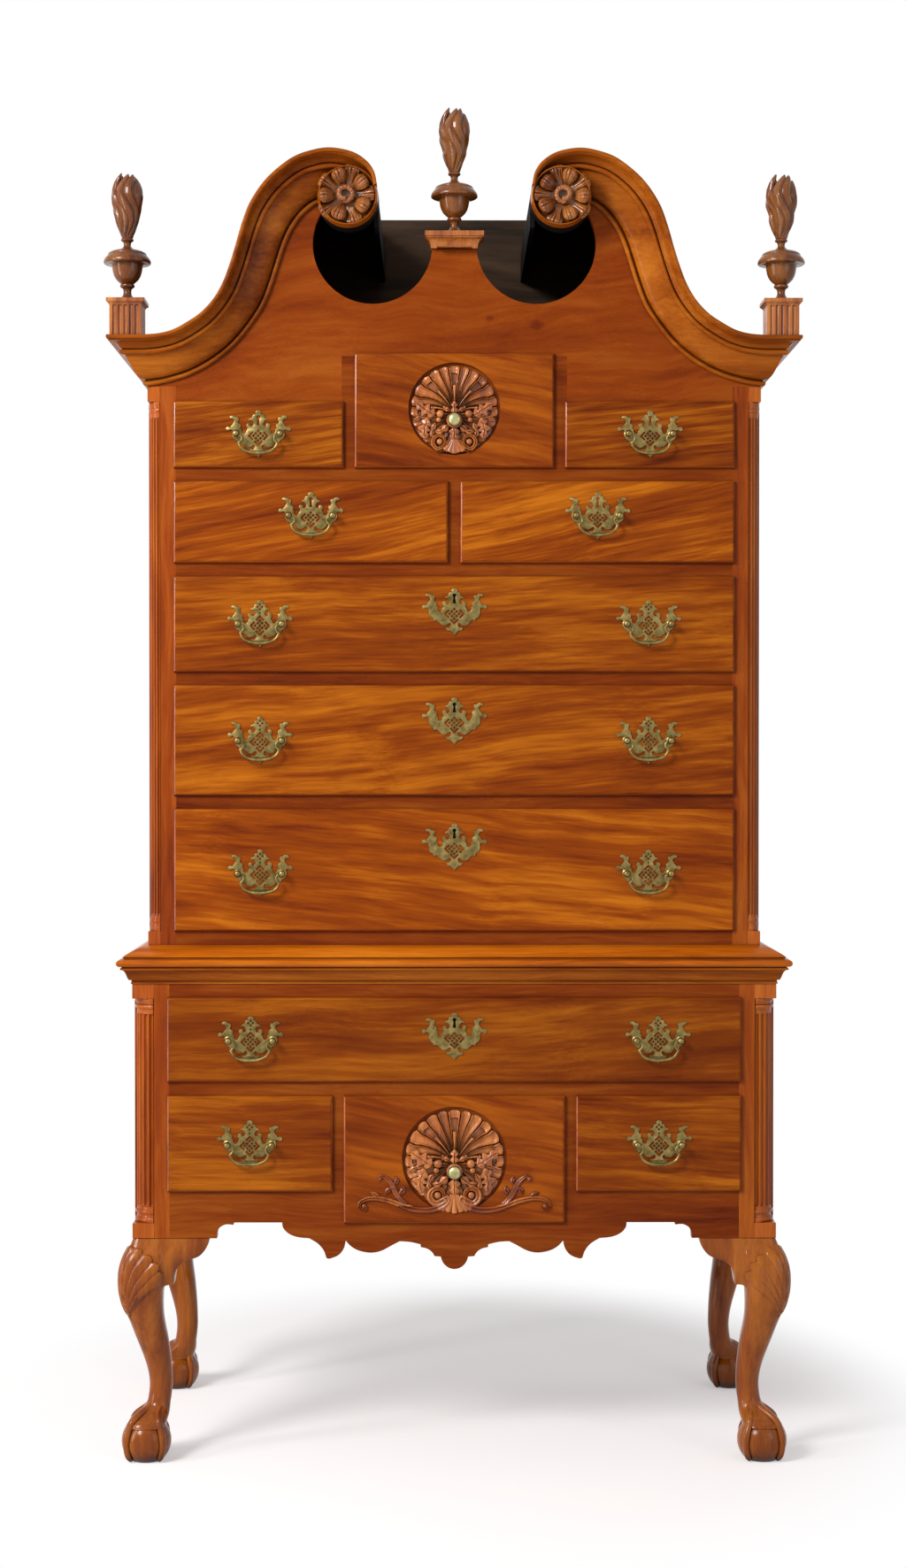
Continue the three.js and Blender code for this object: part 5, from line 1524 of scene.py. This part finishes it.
def ornaments(bm, shell, tendrils):
    """Everything that lies on the shell, in millimetres about the knob's axis."""
    base = shell.ground - 0.0062
    s = shell.scale

    def leaves(rows, side):
        for line, half, lift, high, lobes in rows:
            leaf(bm, [(side * x * s, z * s) for x, z in line], half * s, base - lift * mm, high, lobes)

    for side in (-1, 1):
        leaves(side_leaves, side)
        for x, z, r in ((28, 13, 7.4), (31, 1.5, 5.0), (54, 1, 5.2), (44, 25, 3.0), (20, 26, 2.4)):
            berry(bm, side * x * s, z * s, r * s, base - (0.0030 if r > 4 else 0.0022))
        eye_x, eye_z = side * 29 * s, -41.5 * s
        line = spiral(eye_x, eye_z, 14.8 * s, -side)
        line += [(side * x, z) for x, z in (tendril if tendrils else curl)]
        scroll(bm, line, tendril_widths if tendrils else curl_widths,
               base + (0.0012 if tendrils else 0.0), 6.4 if tendrils else 5.6, 4)
        berry(bm, eye_x, eye_z, 6.4 * s, base - 0.0016, 0.7)
    leaves(middle_leaves[:1], 1)
    berry(bm, 0, 34 * s, 3.6 * s, base - 0.0052)
    leaves(middle_leaves[1:], 1)
    gap, longest, top, sunk = (13, 72.5, 40.0, 1.8) if tendrils else (12, 57.0, 33.0, 0.6)
    for k in range(-2, 3):
        far = longest - abs(k) * 2.6
        x = (far - top + 14) * sin(radians(k * gap)) * 1.25
        scroll(bm, [(x * 0.20, -top), (x * 0.55, -(top * 0.45 + far * 0.55)), (x, -far)],
               [(0, 3.0), (0.6, 5.0), (0.9, 6.2), (1, 4.6)], base + sunk * mm, 5.6, 5, -0.1)
    turning(bm, [(0, 0), (13.6, 0), (13.8, 6), (13.0, 8.6), (10.8, 10.0), (8.6, 9.6), (7.8, 8.4), (0, 8.2)],
            (0, base + 0.0008, 0), 36, "-Y")
    bmesh.ops.translate(bm, verts=bm.verts, vec=(0, 0, shell.z_knob))


def side_sprigs(bm, shell):
    """The upper branch of each tendril and its small buds, on the plain front."""
    for side in (-1, 1):
        branch = [(83.5, -58), (96, -46), (104, -32), (109, -21), (117.5, -12), (125.5, -8), (130.5, -11),
                  (128.5, -15)]
        scroll(bm, [(side * x, z) for x, z in branch],
               [(0, 4.6), (0.3, 5.4), (0.6, 4.0), (0.85, 2.8), (1, 3.6)], shell.front + 0.0006, 4.2, 4)
        for line, half in (([(99, -41), (92, -36), (88, -30), (90, -25)], 5.6),
                           ([(105, -29), (112, -31), (117, -36), (116, -41)], 5.2),
                           ([(107, -24), (101, -19), (100, -13), (103, -8)], 5.0),
                           ([(128, -48), (134, -42), (141, -38), (147, -37)], 4.8)):
            leaf(bm, [(side * x, z) for x, z in line], half, shell.front + 0.0004, 4.0, 1)
        berry(bm, side * 128.5, -13.5, 3.8, shell.front - 0.0006)
        berry(bm, side * 156, -60.5, 4.6, shell.front - 0.0006)
    bmesh.ops.translate(bm, verts=bm.verts, vec=(0, 0, shell.z_knob))


# %% Carve the two shells
for node, sizes in shells.items():
    shell = Shell(*sizes, front_plane(node) - 0.008)
    has_tendrils = node == "drawer_row7_centre"
    bm = bmesh.new()
    shell_relief(bm, shell)
    piece(f"shell_{node[7:]}", bm, carved, node, slot="carved_wood", smooth=60)
    bm = bmesh.new()
    ornaments(bm, shell, has_tendrils)
    leaves = piece(f"leaves_{node[7:]}", bm, carved, node, slot="carved_wood", smooth=60)
    second_finish(leaves, sprig_wood,
                  lambda f: abs(f.center.x) > 0.029 and f.center.z < shell.z_knob - 0.0595)
    if has_tendrils:
        bm = bmesh.new()
        side_sprigs(bm, shell)
        piece("tendrils_row7_centre", bm, sprig_wood, node, slot="carved_wood", smooth=60)
    print("carved", node)
